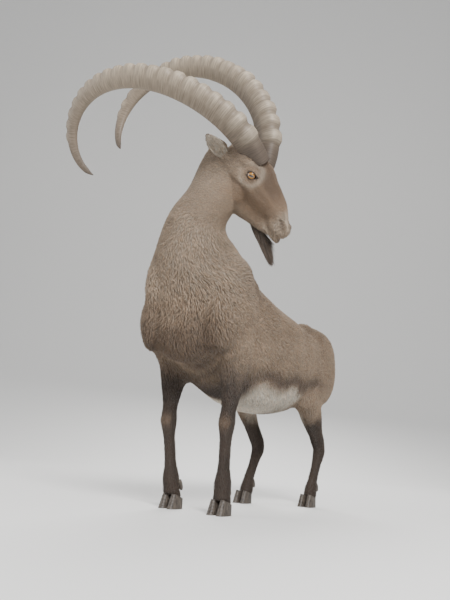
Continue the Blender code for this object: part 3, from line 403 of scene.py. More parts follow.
def head_masses():
    """Skull, jaw, cheeks, brows, lips and the seats of the horns and ears."""
    made = [head_loft("skull", SKULL, 2.25), head_loft("jaw", JAW, 2.2)]
    made.append(head_ball("nose", (0.185, 0, -0.024), (0.018, 0.015, 0.013)))
    made.append(head_ball("chin", (0.170, 0, -0.080), (0.024, 0.019, 0.013)))
    made.append(head_ball("lower_lip", (0.184, 0, -0.073), (0.018, 0.017, 0.0095)))
    made.append(head_ball("upper_lip", (0.184, 0, -0.048), (0.022, 0.026, 0.019)))
    for sign in SIDES.values():
        masses = (
            ((-0.024, 0.034, -0.074), (0.056, 0.026, 0.056), 0),
            ((-0.002, 0.0430, 0.017), (0.030, 0.0145, 0.013), 0),
            ((0.016, 0.042, -0.016), (0.034, 0.013, 0.016), -18),
            ((-0.054, 0.033, 0.020), (0.052, 0.031, 0.028), 0),
            ((0.176, 0.019, -0.024), (0.020, 0.012, 0.014), 0),
            ((0.156, 0.020, -0.046), (0.042, 0.015, 0.018), 0),
            ((-0.100, 0.044, -0.022), (0.028, 0.026, 0.026), 0),
            (EYE_AT, (0.0205, 0.0190, 0.0185), 0),
        )
        for centre, radii, spin in masses:
            made.append(head_ball("mass", centre, radii, sign, spin))
    return made


def head_line(thing, points, width, height):
    """The same stroke on both sides of the head."""
    for sign in SIDES.values():
        stroke(thing, in_head(mirrored(points, sign)), width, height)


def shape_face(thing):
    """Mouth, lips, nostrils, lids, tear line, cheekbone and the folds of the jaw."""
    shape = bmesh.new()
    shape.from_mesh(thing.data)
    tree = BVHTree.FromBMesh(shape)
    shape.free()
    for path, width, height in ((MOUTH, 0.0036, -0.0030), (NOSTRIL, 0.0036, -0.0034)):
        for sign in SIDES.values():
            near = in_head(mirrored(through(path, 3), sign))
            stroke(thing, np.array([tree.find_nearest(Vector(point))[0] for point in near]), width, height)
    for path, width, height in FACE_LINES:
        head_line(thing, path, width, height)
    for side in SIDES:
        centre, look, long, high = eye_frame(side)
        ring = almond(20, EYE_OPENING[0] * HEAD_SIZE * 1.28, EYE_OPENING[1] * HEAD_SIZE * 1.42)
        line = centre + look * EYE_RADIUS * HEAD_SIZE + ring[:, :1] * long + ring[:, 1:] * high
        stroke(thing, np.vstack([line[4:], line[:4]]), 0.0038, 0.0012)


def eye_frame(side):
    """Middle of an eye, the way it looks, its long axis and its height, in the world."""
    sign = SIDES[side]
    look = unit(TURN @ mirrored(EYE_LOOKS, sign))
    long = TURN @ np.array((1, 0, 0.42))
    long = unit(long - look * (long @ look))
    high = np.cross(look, long)
    high *= np.sign(high @ TURN[:, 2])
    return in_head(mirrored(EYE_AT, sign)), look, long, high


def almond(count, long_half, high_half):
    """An eye's outline: (cos a, sin a*(1 - 0.35 cos^2 a)) times the two half sizes."""
    angle = np.linspace(0, 2 * np.pi, count, endpoint=False)
    across = np.cos(angle) * long_half
    up = np.sin(angle) * (1 - 0.35 * np.cos(angle) ** 2) * high_half
    return np.stack([across, up], 1)


def open_lids(thing):
    """Sinks the skin inside each eye's almond behind the eyeball: depth 0.013*step(1.08, 0.74, ring).

    ring is 1 on the almond and 0 in its middle, so the lids' edge is where the ball comes through.
    """
    points = points_of(thing)
    for side in SIDES:
        centre, look, long, high = eye_frame(side)
        away = points - centre
        u = away @ long / (EYE_OPENING[0] * HEAD_SIZE)
        narrow = 1 - 0.35 * np.minimum(u**2, 1)
        ring = np.hypot(u, away @ high / (EYE_OPENING[1] * HEAD_SIZE * narrow))
        sunk = 0.013 * step(1.08, 0.74, ring) * (away @ look > 0.004)
        points = points - sunk[:, None] * look
    set_points(thing, points)


def merged_node(name, grown):
    """A copy of a solid with its loose triangles merged and its surface moved out a little."""
    shape = bmesh.new()
    shape.from_mesh(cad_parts[name].data)
    bmesh.ops.remove_doubles(shape, verts=shape.verts, dist=1e-5)
    bmesh.ops.recalc_face_normals(shape, faces=shape.faces)
    mesh = bpy.data.meshes.new("flesh")
    shape.to_mesh(mesh)
    shape.free()
    made = bpy.data.objects.new("flesh", mesh)
    bpy.context.scene.collection.objects.link(made)
    set_points(made, points_of(made) + normals_of(made) * grown)
    return made


def body_stroke(thing, points, width, height, sides=(1, -1)):
    """A stroke on the trunk in the tables' own coordinates, on one or both sides."""
    for sign in sides:
        stroke(thing, np.array(points) * (sign, 1, 1) + np.array(SHIFT), width, height)


def shape_body(thing):
    """Two soft grooves on each side of the trunk: one behind the shoulder and one along the flank in front of
    the thigh.
    """
    body_stroke(thing, ((0.19, -0.205, 0.76), (0.20, -0.215, 0.64), (0.18, -0.210, 0.54)), 0.030, -0.006)
    body_stroke(thing, ((0.18, 0.185, 0.70), (0.20, 0.135, 0.60), (0.18, 0.100, 0.47)), 0.030, -0.006)


def ear_shell(side):
    """One ear: a cupped leaf swept along its length, rolled into a tube at its root.

    Each ring is a half circle outside and a shallower one inside, half = leaf(share)*width/2.
    """
    sign = SIDES[side]
    root = in_head(mirrored(EAR_ROOT, sign))
    along = unit(TURN @ mirrored(EAR_POINTS, sign))
    opens = TURN @ mirrored((0.75, 0.62, -0.10), sign)
    opens = unit(opens - along * (opens @ along))
    across = np.cross(along, opens)
    share = np.concatenate([[-0.16], np.linspace(0, 0.99, 28)])
    leaf = np.sin(np.pi * np.minimum(1, 0.16 + 0.84 * np.maximum(share, 0)) ** 0.92) ** 0.75
    half = EAR_WIDTH / 2 * np.maximum(leaf, 0.10)
    cup = half * (0.95 - 0.35 * share)
    wall = 0.0046 - 0.0026 * share
    hollow = np.clip((share - 0.02) / 0.16, 0, 1)
    middle = root + along * (share * EAR_LENGTH)[:, None] - opens * (0.012 * share**2)[:, None]
    outer = np.pi * np.arange(17) / 16
    inner = np.pi * (16 - np.arange(1, 16)) / 16
    rings_out = (
        middle[:, None]
        - across * (half[:, None] * np.cos(outer))[..., None]
        - opens * (cup[:, None] * np.sin(outer))[..., None]
    )
    inner_cup = (cup - wall) * hollow - (1 - hollow) * cup * 0.8
    rings_in = (
        middle[:, None]
        - across * ((half - wall)[:, None] * np.cos(inner))[..., None]
        - opens * (inner_cup[:, None] * np.sin(inner))[..., None]
    )
    return capped("ear", np.concatenate([rings_out, rings_in], axis=1))


def coat_depth(points):
    """How far the skin lies under the coat's outside: least on face and feet, most on neck and breast."""
    h = to_head(points)
    z = points[:, 2]
    deep = 0.0035 + 0.0060 * step(0.14, 0.48, z)
    deep += 0.0030 * step(0.60, 0.80, z) * step(0.0, -0.25, points[:, 1] - SHIFT.y)
    face = step(-0.13, -0.04, h[:, 0]) * step(0.16, 0.10, np.abs(h[:, 1]))
    face = face * step(-0.20, -0.14, h[:, 2]) * step(0.95, 1.02, z)
    return deep * (1 - face) + face * (0.0012 + 0.0020 * step(0.06, -0.08, h[:, 0]))


def make_skin():
    """The whole hide as one piece: the trunk, neck, legs and tail, the finer head, and the ears."""
    grown = 0.0015
    flesh = [merged_node(name, grown) for name in FLESH] + [neck_core("core", grown)]
    body = fuse("body_skin", flesh, BODY_VOXEL, 18)
    shape_body(body)
    head = fuse("head_skin", head_masses() + [neck_core("core", 0.0)], HEAD_VOXEL, 34)
    shape_face(head)
    points = points_of(head)
    h = to_head(points)
    dive = step(-0.125, -0.165, h[:, 0])
    depth = coat_depth(points) + 0.010 * dive
    set_points(head, points - normals_of(head) * depth[:, None])
    open_lids(head)
    keep_head(head)
    points = points_of(body)
    set_points(body, points - normals_of(body) * (coat_depth(points) + grown)[:, None])
    relax(body, 3)
    ears = [ear_shell(side) for side in SIDES]
    return body, head, ears


def keep_head(thing):
    """Takes off the head skin's lower neck, where it already lies below the body's skin, and closes it."""
    shape = bmesh.new()
    shape.from_mesh(thing.data)
    place = Vector(in_head((-0.19, 0, -0.16)))
    normal = Vector(TURN @ np.array((-0.45, 0, -0.89)))
    cut = bmesh.ops.bisect_plane(
        shape,
        geom=[*shape.verts, *shape.edges, *shape.faces],
        plane_co=place,
        plane_no=normal,
        clear_outer=True,
    )
    edges = [item for item in cut["geom_cut"] if isinstance(item, bmesh.types.BMEdge)]
    bmesh.ops.triangle_fill(shape, edges=edges, use_beauty=True)
    bmesh.ops.recalc_face_normals(shape, faces=shape.faces)
    shape.to_mesh(thing.data)
    shape.free()

# Colours of the coat and the bare parts, in linear light
GREY_BROWN = (0.262, 0.190, 0.130)
WARM_BACK = (0.190, 0.125, 0.076)
DORSAL = (0.075, 0.050, 0.034)
FLANK_LINE = (0.092, 0.063, 0.044)
LEG_DARK = (0.046, 0.031, 0.022)
PALE_BELLY = (0.560, 0.500, 0.415)
PALE_RUMP = (0.480, 0.420, 0.335)
BREAST_DARK = (0.098, 0.066, 0.044)
NECK_GREY = (0.270, 0.204, 0.146)
FACE_BROWN = (0.205, 0.138, 0.088)
FOREHEAD = (0.105, 0.067, 0.042)
MUZZLE_PALE = (0.400, 0.335, 0.262)
BARE_SKIN = (0.030, 0.022, 0.018)
EAR_INSIDE = (0.430, 0.370, 0.300)


def wander(points, size, seed):
    """Slow smooth noise in -1..1: the sum of six sine waves in seeded directions, size metres long."""
    draw = np.random.default_rng(seed)
    total = np.zeros(len(points))
    for weight in (1.0, 0.8, 0.7, 0.6, 0.45, 0.4):
        way = unit(draw.normal(size=3)) * 2 * np.pi / (size * draw.uniform(0.6, 1.5))
        total += weight * np.sin(points @ way + draw.uniform(0, 2 * np.pi))
    return np.clip(total / 2.2, -1, 1)


def laid(colour, over, share):
    """One colour laid over another: colour + share*(over - colour), row by row."""
    share = np.asarray(share)[:, None]
    return colour * (1 - share) + np.asarray(over) * share


def head_share(points):
    """1 on the head, 0 on the neck and body, and a smooth change behind the ears and the jaw."""
    h = to_head(points)
    near = step(-0.250, -0.095, h[:, 0] - 0.25 * np.minimum(h[:, 2] + 0.05, 0))
    high = step(0.88, 1.00, points[:, 2]) * step(-0.36, -0.15, h[:, 2])
    return near * step(0.17, 0.12, np.abs(h[:, 1])) * high


def markings(points, normals):
    """The coat's colour by place: the animal's markings, from smooth steps along its body and its head."""
    w = points - np.array(SHIFT)
    x, y, z = w.T
    side = np.abs(x)
    ragged = 0.016 * wander(points, 0.11, 3) + 0.008 * wander(points, 0.035, 4)
    colour = np.tile(np.array(GREY_BROWN), (len(points), 1))
    colour = laid(colour, WARM_BACK, 0.75 * step(0.60, 0.84, z + ragged) * step(-0.30, -0.05, y))
    colour = laid(colour, NECK_GREY, step(-0.22, -0.36, y + ragged) * step(0.62, 0.80, z))
    breast = step(-0.34, -0.42, y + ragged) * step(0.74, 0.56, z + 1.5 * ragged) * step(0.22, 0.12, side)
    colour = laid(colour, BREAST_DARK, 0.85 * breast)
    dorsal = step(0.034, 0.016, side + 0.5 * ragged) * step(0.35, 0.75, normals[:, 2])
    dorsal = dorsal * step(-0.32, -0.22, y)
    colour = laid(colour, DORSAL, 0.70 * dorsal * step(0.60, 0.68, z) * step(0.97, 0.90, z))
    nape = step(0.35, 0.8, normals[:, 1]) * step(0.86, 0.96, z) * step(-0.30, -0.34, y)
    colour = laid(colour, WARM_BACK, 0.6 * nape)
    along = step(-0.20, -0.10, y) * step(0.34, 0.22, y)
    low = 0.470 + 0.10 * (y + 0.15) ** 2
    line = np.exp(-(((z - low + 0.6 * ragged) / 0.026) ** 2))
    belly = along * step(low - 0.015, low - 0.055, z + 0.6 * ragged)
    belly = belly * (1 - step(0.10, 0.19, y) * step(0.060, 0.095, side))
    colour = laid(colour, FLANK_LINE, 0.90 * along * line)
    colour = laid(colour, PALE_BELLY, belly)
    rump = step(0.44, 0.53, y + ragged) * step(0.075, 0.045, side - 0.05 * step(0.66, 0.52, z))
    colour = laid(colour, PALE_RUMP, rump * step(0.45, 0.50, z) * step(0.70, 0.64, z))
    tail = step(0.030, 0.022, side) * step(0.570, 0.590, y) * step(0.50, 0.52, z)
    colour = laid(colour, DORSAL, tail * step(0.0, 0.5, normals[:, 1]))
    fore = step(-0.12, -0.18, y)
    hind = np.maximum(step(0.24, 0.32, y), step(0.03, 0.10, y) * step(0.43, 0.34, z))
    leg_fore = fore * step(0.535, 0.400, z + 1.4 * ragged) * step(-0.44, -0.40, y)
    leg_hind = hind * step(0.430, 0.300, z + 1.4 * ragged - 0.10 * step(0.42, 0.50, y))
    colour = laid(colour, LEG_DARK, np.maximum(leg_fore, leg_hind))
    inner = hind * step(0.56, 0.46, z) * step(-0.2, -0.7, normals[:, 0] * np.sign(x))
    colour = laid(colour, PALE_BELLY, 0.55 * inner * step(0.30, 0.38, z))
    behind = step(0.25, 0.75, normals[:, 1])
    pastern = step(0.135, 0.105, z + 0.4 * ragged) * (0.30 + 0.70 * behind)
    colour = laid(colour, PALE_RUMP, 0.55 * pastern * behind)
    cannon_back = behind * step(0.30, 0.26, z) * step(0.12, 0.16, z)
    colour = laid(colour, GREY_BROWN, 0.55 * cannon_back)
    knee = fore * np.exp(-(((z - 0.295) / 0.022) ** 2)) * step(0.2, 0.8, -normals[:, 1])
    colour = laid(colour, FACE_BROWN, 0.40 * knee)

    head = head_share(points)
    h = to_head(points)
    hx, hy, hz = h[:, 0], np.abs(h[:, 1]), h[:, 2]
    face = np.tile(np.array(FACE_BROWN), (len(points), 1))
    face = laid(face, NECK_GREY, step(0.03, -0.09, hx + 0.6 * ragged))
    face = laid(face, NECK_GREY, 0.7 * step(-0.075, -0.100, hz) * step(0.13, 0.09, hx))
    top = step(0.012, 0.026, hz + 0.16 * np.maximum(hx, 0)) * step(0.15, 0.08, hx) * step(-0.11, -0.07, hx)
    face = laid(face, FOREHEAD, 0.85 * top * step(0.050, 0.034, hy))
    cheek_band = np.exp(-(((hz + 0.020) / 0.014) ** 2)) * step(0.03, 0.06, hx)
    face = laid(face, FOREHEAD, 0.45 * cheek_band * step(0.16, 0.11, hx))
    eye = np.linalg.norm(np.stack([hx, hy, hz], 1) - np.array(EYE_AT), axis=1)
    eye_ring = np.exp(-(((eye - 0.034) / 0.008) ** 2))
    face = laid(face, MUZZLE_PALE, 0.55 * eye_ring * step(-0.03, 0.02, hx + 0.02))
    face = laid(face, MUZZLE_PALE, 0.85 * step(0.135, 0.170, hx + 0.4 * ragged))
    face = laid(face, MUZZLE_PALE, 0.5 * step(0.10, 0.14, hx) * step(-0.050, -0.075, hz))
    nose_pad = step(0.020, 0.013, hy) * step(0.186, 0.194, hx) * step(-0.056, -0.046, hz)
    face = laid(face, FOREHEAD, 0.8 * nose_pad)
    folded = np.stack([hx, hy, hz], 1)
    face = laid(face, BARE_SKIN, 0.9 * step(0.0052, 0.0028, side_distance(folded, MOUTH)))
    face = laid(face, BARE_SKIN, step(0.0078, 0.0052, side_distance(folded, NOSTRIL)))
    lids = eye_outline_distance(points)
    face = laid(face, BARE_SKIN, 0.95 * step(0.0052, 0.0026, lids))
    colour = colour * (1 - head[:, None]) + face * head[:, None]

    for sign in SIDES.values():
        root, tip = ear_line(sign)
        away, share = distance_to(points, np.array((root, tip)))
        on_ear = step(0.040, 0.034, away) * step(0.02, 0.06, share)
        opens = unit(TURN @ mirrored((0.75, 0.62, -0.10), sign))
        inside = step(0.0, 0.5, normals @ opens)
        ear = laid(np.tile(np.array(NECK_GREY), (len(points), 1)), EAR_INSIDE, inside)
        ear = laid(ear, FOREHEAD, 0.75 * step(0.86, 0.97, share))
        colour = colour * (1 - on_ear[:, None]) + ear * on_ear[:, None]
    shade = 1 + 0.10 * wander(points, 0.16, 8) + 0.06 * wander(points, 0.05, 9)
    return np.clip(colour * shade[:, None], 0.004, 0.9)


def side_distance(folded, path):
    """Distance from a line on the face, mostly as seen from the side: the depth counts by a quarter."""
    seen = np.array((1, 0.25, 1))
    return distance_to(folded * seen, through(path, 6) * seen)[0]


def ear_line(sign):
    """Root and tip of an ear in the world."""
    root = in_head(mirrored(EAR_ROOT, sign))
    return root, root + unit(TURN @ mirrored(EAR_POINTS, sign)) * EAR_LENGTH


def eye_outline_distance(points):
    """Distance in metres from the nearer eye's almond, measured square to the way the eye looks."""
    best = np.full(len(points), 1.0)
    for side in SIDES:
        centre, look, long, high = eye_frame(side)
        away = points - centre
        deep = away @ look
        a = EYE_OPENING[0] * HEAD_SIZE * 1.06
        u, v = away @ long / a, away @ high
        b = EYE_OPENING[1] * HEAD_SIZE * 1.06 * (1 - 0.35 * np.minimum(u**2, 1))
        ring = np.sqrt(u**2 + (v / b) ** 2)
        gap = np.abs(ring - 1) * EYE_OPENING[1] * HEAD_SIZE * 1.2
        gap = np.where(ring < 1, 0.0, gap)
        best = np.minimum(best, np.where(deep > 0.006, gap, 1.0))
    return best


def lie_of(points, normals):
    """The way the hairs point: back and down the trunk, down the legs, off the muzzle, along the ears."""
    w = points - np.array(SHIFT)
    x, y, z = w.T
    one = np.ones(len(points))
    down = 0.25 + 0.85 * step(0.78, 0.45, z) + 0.5 * step(-0.30, -0.45, y)
    way = np.stack([0.10 * x, one, -down], 1)
    neck = step(0.80, 0.92, z)
    way = way * (1 - neck[:, None]) + neck[:, None] * np.stack([-0.30 * one, 0.30 * one, -one], 1)
    legs = step(0.44, 0.34, z)
    way = way * (1 - legs[:, None]) + legs[:, None] * np.stack([0 * x, 0.12 * one, -one], 1)
    tail = step(0.030, 0.022, np.abs(x)) * step(0.585, 0.600, y)
    way = way * (1 - tail[:, None]) + tail[:, None] * np.array((0, 0.15, -1.0))
    head = head_share(points)[:, None]
    h = to_head(points)
    back = np.stack([-one, 0.25 * np.sign(h[:, 1]) * one, -0.25 - 0.5 * step(0, -0.08, h[:, 2])], 1) @ TURN.T
    way = unit(way) * (1 - head) + unit(back) * head
    for sign in SIDES.values():
        root, tip = ear_line(sign)
        away, share = distance_to(points, np.array((root, tip)))
        on_ear = (step(0.042, 0.036, away) * step(0.02, 0.06, share))[:, None]
        way = way * (1 - on_ear) + unit(tip - root) * on_ear
    swirl = 0.20 * wander(points, 0.16, 12) + 0.09 * wander(points, 0.05, 13)
    way = unit(way - normals * (way * normals).sum(1)[:, None])
    return unit(way + np.cross(normals, way) * swirl[:, None])


def coat_measure(points, normals):
    """Length, width and stand of the hairs, and the room each takes: least on face and feet."""
    w = points - np.array(SHIFT)
    x, y, z = w.T
    side = np.abs(x)
    long = 0.013 + 0.012 * step(0.24, 0.52, z)
    fringe = step(-0.36, -0.46, y) * step(0.45, 0.55, z) * step(0.86, 0.70, z)
    belly = step(-0.18, -0.08, y) * step(0.30, 0.20, y) * step(-0.3, -0.8, normals[:, 2])
    nape = step(0.3, 0.8, normals[:, 1]) * step(0.84, 0.94, z)
    spine = step(0.05, 0.02, side) * step(0.6, 0.9, normals[:, 2])
    rump = step(0.50, 0.58, y) * step(0.46, 0.52, z)
    armpit = step(-0.20, -0.26, y) * step(0.50, 0.46, z) * step(0.36, 0.42, z) * step(-0.38, -0.34, y)
    long += 0.012 * fringe + 0.014 * belly + 0.008 * nape + 0.005 * spine + 0.010 * rump + 0.008 * armpit
    long -= 0.0035 * step(0.14, 0.08, z)
    wide = 0.0016 + 0.0008 * step(0.20, 0.50, z)
    stand = 0.0020 + 0.0022 * step(0.30, 0.55, z) + 0.0030 * np.maximum(np.maximum(fringe, belly), rump)
    room = 0.0034 + 0.0015 * step(0.22, 0.46, z)
    head = head_share(points)
    h = to_head(points)
    on_face = 0.0048 + 0.0085 * step(0.12, -0.08, h[:, 0]) + 0.0080 * step(-0.05, -0.14, h[:, 0])
    long = long * (1 - head) + on_face * head
    wide = wide * (1 - head) + head * (0.0012 + 0.0009 * step(0.10, -0.12, h[:, 0]))
    stand = stand * (1 - head) + head * (0.0009 + 0.0020 * step(0.08, -0.14, h[:, 0]))
    room = room * (1 - head) + head * (0.0022 + 0.0014 * step(0.06, -0.13, h[:, 0]))
    lids = eye_outline_distance(points)
    long = np.where((lids < 0.006) & (head > 0.5), np.minimum(long, 0.003), long)
    return long, wide, stand, room


def triangles_of(thing):
    """Corner places, corner normals and areas of the skin's triangles."""
    mesh = thing.data
    mesh.calc_loop_triangles()
    corners = np.empty(len(mesh.loop_triangles) * 3, int)
    mesh.loop_triangles.foreach_get("vertices", corners)
    corners = corners.reshape(-1, 3)
    places, normals = points_of(thing)[corners], normals_of(thing)[corners]
    areas = np.linalg.norm(np.cross(places[:, 1] - places[:, 0], places[:, 2] - places[:, 0]), axis=1) / 2
    return places, normals, areas


def coat_roots(thing, count, draw):
    """Even random roots: points by area, then one kept to each cell of a grid as wide as the hair's room."""
    places, normals, areas = triangles_of(thing)
    room = coat_measure(places.mean(1), unit(normals.mean(1)))[3]
    pull = np.cumsum(areas / room**2)
    pick = np.searchsorted(pull, draw.uniform(0, pull[-1], count))
    u, v = draw.uniform(size=(2, count))
    over = u + v > 1
    u[over], v[over] = 1 - u[over], 1 - v[over]
    share = np.stack([1 - u - v, u, v], 1)[..., None]
    roots, normal = (places[pick] * share).sum(1), unit((normals[pick] * share).sum(1))
    room = coat_measure(roots, normal)[3]
    size = np.exp(np.round(np.log(room) * 6) / 6)
    cell = np.floor(roots / size[:, None]).astype(np.int64)
    key = (cell[:, 0] * 7919 + cell[:, 1]) * 104729 + cell[:, 2]
    key += np.round(size * 1e6).astype(np.int64) * 15485863
    _, first = np.unique(key, return_index=True)
    first.sort()
    return roots[first], normal[first]


def onto_skin(tree, points):
    """Nearest place on the skin and its normal, for each point."""
    places = np.empty_like(points)
    normals = np.empty_like(points)
    for i, point in enumerate(points):
        place, normal, _, _ = tree.find_nearest(point)
        places[i] = place
        normals[i] = normal
    return places, normals


def chart_places(points, normals):
    """UV of each root on an unwrap of the skin: eight box charts, by the axis its normal leans to.

    A chart is the skin seen along that axis, kept in one cell of a 4 by 2 sheet. The charts that look
    sideways are split at the middle plane, so that inner and outer legs don't share a place.
    """
    w = points - np.array(SHIFT)
    axis = np.argmax(np.abs(normals), axis=1)
    ahead = np.take_along_axis(normals, axis[:, None], 1)[:, 0] > 0
    chart = np.select(
        [axis == 1, axis == 2],
        [4 + ahead, 6 + ahead],
        default=2 * (w[:, 0] > 0) + ahead,
    ).astype(int)
    first = np.where(axis == 0, w[:, 1], w[:, 0])
    second = np.where(axis == 2, w[:, 1], w[:, 2])
    low_first = np.where(axis == 0, -0.78, -0.32)
    span_first = np.where(axis == 0, 1.48, 0.80)
    low_second = np.where(axis == 2, -0.78, 0.0)
    span_second = 1.48
    u = np.clip((first - low_first) / span_first, 0.01, 0.99)
    v = np.clip((second - low_second) / span_second, 0.01, 0.99)
    return np.stack([(chart % 4 + u) / 4, (chart // 4 + v) / 2], 1)


def mesh_piece(name, points, faces, colours, sheet):
    """A piece from arrays of triangles, with its colours and its OFBake map."""
    mesh = bpy.data.meshes.new(name)
    mesh.vertices.add(len(points))
    mesh.vertices.foreach_set("co", points.astype(np.float32).ravel())
    mesh.loops.add(faces.size)
    mesh.loops.foreach_set("vertex_index", faces.astype(np.int32).ravel())
    mesh.polygons.add(len(faces))
    mesh.polygons.foreach_set("loop_start", np.arange(0, faces.size, 3, dtype=np.int32))
    mesh.polygons.foreach_set("use_smooth", np.ones(len(faces), bool))
    mesh.update(calc_edges=True)
    paint = mesh.attributes.new("coat_colour", "FLOAT_COLOR", "POINT")
    rows = np.column_stack([colours, np.ones(len(colours))])
    paint.data.foreach_set("color", rows.astype(np.float32).ravel())
    layer = mesh.uv_layers.new(name="OFBake")
    layer.uv.foreach_set("vector", sheet[faces.ravel()].astype(np.float32).ravel())
    made = bpy.data.objects.new(name, mesh)
    bpy.context.scene.collection.objects.link(made)
    return made


def hairs(roots, normals, ways, measures, tree, draw):
    """Points, triangles, colours and map of tufts: three-sided sections at root and bend, and a tip.

    The bend stands `stand` over the skin at 0.45 of the length and the tip lies 0.35 of that over it,
    both set on the skin's nearest place, so that a tuft follows the body round.
    """
    long, wide, stand, _ = measures
    count = len(roots)
    long = long * draw.uniform(0.72, 1.18, count)
    wide = wide * draw.uniform(0.8, 1.2, count)
    stand = stand * draw.uniform(0.6, 1.5, count)
    turn = draw.normal(0, 0.13, count)[:, None]
    ways = unit(ways + np.cross(normals, ways) * turn)
    bend, bend_normal = onto_skin(tree, roots + ways * (0.45 * long)[:, None])
    onward = unit(ways - bend_normal * (ways * bend_normal).sum(1)[:, None])
    tip, tip_normal = onto_skin(tree, bend + onward * (0.55 * long)[:, None])
    bend = bend + bend_normal * stand[:, None]
    tip = tip + tip_normal * (stand * draw.uniform(0.15, 0.75, count))[:, None]
    side = unit(np.cross(normals, ways))
    root = roots - normals * (0.0012 + 0.2 * stand)[:, None]
    half, thick = (wide / 2)[:, None], (wide * 0.28)[:, None]
    ring_root = [root - side * half * 0.7, root + side * half * 0.7, root + normals * thick]
    ring_bend = [bend - side * half, bend + side * half, bend + bend_normal * thick]
    points = np.stack([*ring_root, *ring_bend, tip], 1)
    base = np.array(
        [(0, 2, 1), (0, 1, 4), (0, 4, 3), (1, 2, 5), (1, 5, 4), (2, 0, 3)]
        + [(2, 3, 5), (3, 4, 6), (4, 5, 6), (5, 3, 6)]
    )
    faces = (np.arange(count)[:, None, None] * 7 + base).reshape(-1, 3)
    plain = markings(roots, normals)
    own = 1 + 0.12 * draw.normal(0, 1, count)
    own = np.clip(own, 0.6, 1.5)[:, None]
    warm = 1 + 0.04 * draw.normal(0, 1, (count, 1)) * np.array((1, 0, -1))
    rows = [plain * own * warm * share for share in (0.62, 0.62, 0.70, 0.98, 0.98, 1.06, 1.22)]
    colours = np.clip(np.stack(rows, 1), 0.004, 0.9)
    middle = chart_places(roots, normals)
    corners = [(-0.5, -0.5), (0.5, -0.5), (0, -0.5), (-0.5, 0.1), (0.5, 0.1), (0, 0.1), (0, 0.5)]
    patch = np.array(corners) * PATCH
    sheet = middle[:, None] + patch
    return points.reshape(-1, 3), faces, colours.reshape(-1, 3), sheet.reshape(-1, 2)


def make_coat(thing, finish):
    """The coat in pieces, each of fewer tufts than the limit on a piece."""
    draw = np.random.default_rng(SEED)
    shape = bmesh.new()
    shape.from_mesh(thing.data)
    tree = BVHTree.FromBMesh(shape)
    roots, normals = coat_roots(thing, COAT_TRIES, draw)
    h = to_head(roots)
    folded = np.abs(h) * (0, 1, 0) + h * (1, 0, 1)
    mouth_away = side_distance(folded, MOUTH)
    nostril_away = side_distance(folded, NOSTRIL)
    bare = (mouth_away < 0.0040) | (nostril_away < 0.0072) | (eye_outline_distance(roots) < 0.0016)
    pad = (h[:, 0] > 0.192) & (np.abs(h[:, 1]) < 0.012) & (h[:, 2] > -0.056)
    bare = (bare | pad) & (head_share(roots) > 0.5)
    for sign in SIDES.values():
        stand, up = in_head(mirrored(HORN_SEAT[0], sign)), TURN @ mirrored(HORN_SEAT[1], sign)
        bare |= (np.linalg.norm(roots - stand, axis=1) < 0.046) & ((roots - stand) @ unit(up) > -0.010)
    keep = ~bare
    roots, normals = roots[keep], normals[keep]
    ways = lie_of(roots, normals)
    measures = coat_measure(roots, normals)
    w = roots - np.array(SHIFT)
    z, y = w[:, 2], w[:, 1]
    head = head_share(roots) > 0.5
    region = np.select(
        [head & (to_head(roots)[:, 0] > 0.02), head, (z > 0.90) & (y < -0.2), z < 0.36]
        + [y < -0.30, y < -0.02, y < 0.27],
        [0, 1, 2, 3, 4, 5, 6],
        default=7,
    )
    regions = ("face", "head", "neck", "legs", "breast", "shoulder", "flank", "rump")
    names = tuple("coat_" + region for region in regions)
    made = []
    for i, name in enumerate(names):
        chosen = np.flatnonzero(region == i)
        parts = int(np.ceil(len(chosen) / TUFT_LIMIT))
        for part in range(parts):
            some = chosen[part::parts]
            few = tuple(measure[some] for measure in measures)
            label = name if parts == 1 else f"{name}_{part + 1}"
            piece = mesh_piece(label, *hairs(roots[some], normals[some], ways[some], few, tree, draw))
            piece.data.materials.append(finish)
            made.append(piece)
            print(piece.name, len(some), "tufts")
    chin = beard(tree)
    chin.data.materials.append(finish)
    shape.free()
    return made, chin


# Horn curve: its angle above the skull's line and its spread, as polynomials of the share of its
# length, and how much more of each the left horn has than the right
HORN_RISE = (35.1, -238.6, 306.2, -300.5)
HORN_SPREAD = (24.3, -47.3, 0.5)
UNEVEN_RISE = (8.9, -13.5, -11.1, 19.2)
UNEVEN_SPREAD = (-8.4, -22.1, 29.9)
HORN_RIDGES = 20
HORN_RIDGED = (0.02, 0.86)
HORN_SUNK = 0.045


def horn_path(sign, count=240):
    """A horn's curve: its direction turns by two polynomials of the share, summed over equal steps."""
    pace = HORN_LENGTH / count
    share = np.arange(-int(HORN_SUNK / pace), count + 1) / count
    powers = share[:, None] ** np.arange(4)
    rise = np.radians(powers @ (np.array(HORN_RISE) + sign * np.array(UNEVEN_RISE)))
    spread = np.radians(powers[:, :3] @ (np.array(HORN_SPREAD) + sign * np.array(UNEVEN_SPREAD)))
    level = np.cos(spread)
    along = np.stack([-np.cos(rise) * level, sign * np.sin(spread), np.sin(rise) * level], 1)
    places = np.vstack([np.zeros(3), np.cumsum((along[1:] + along[:-1]) / 2, axis=0)]) * pace
    places += mirrored(HORN_ROOT, sign) * HEAD_SIZE - places[np.argmin(np.abs(share))]
    side = unit(np.array((0.0, 1.0, 0.0)) - along * along[:, 1:2])
    front = -unit(np.cross(along, side))
    return share, places @ TURN.T + np.array(HEAD_CENTRE), side @ TURN.T, front @ TURN.T


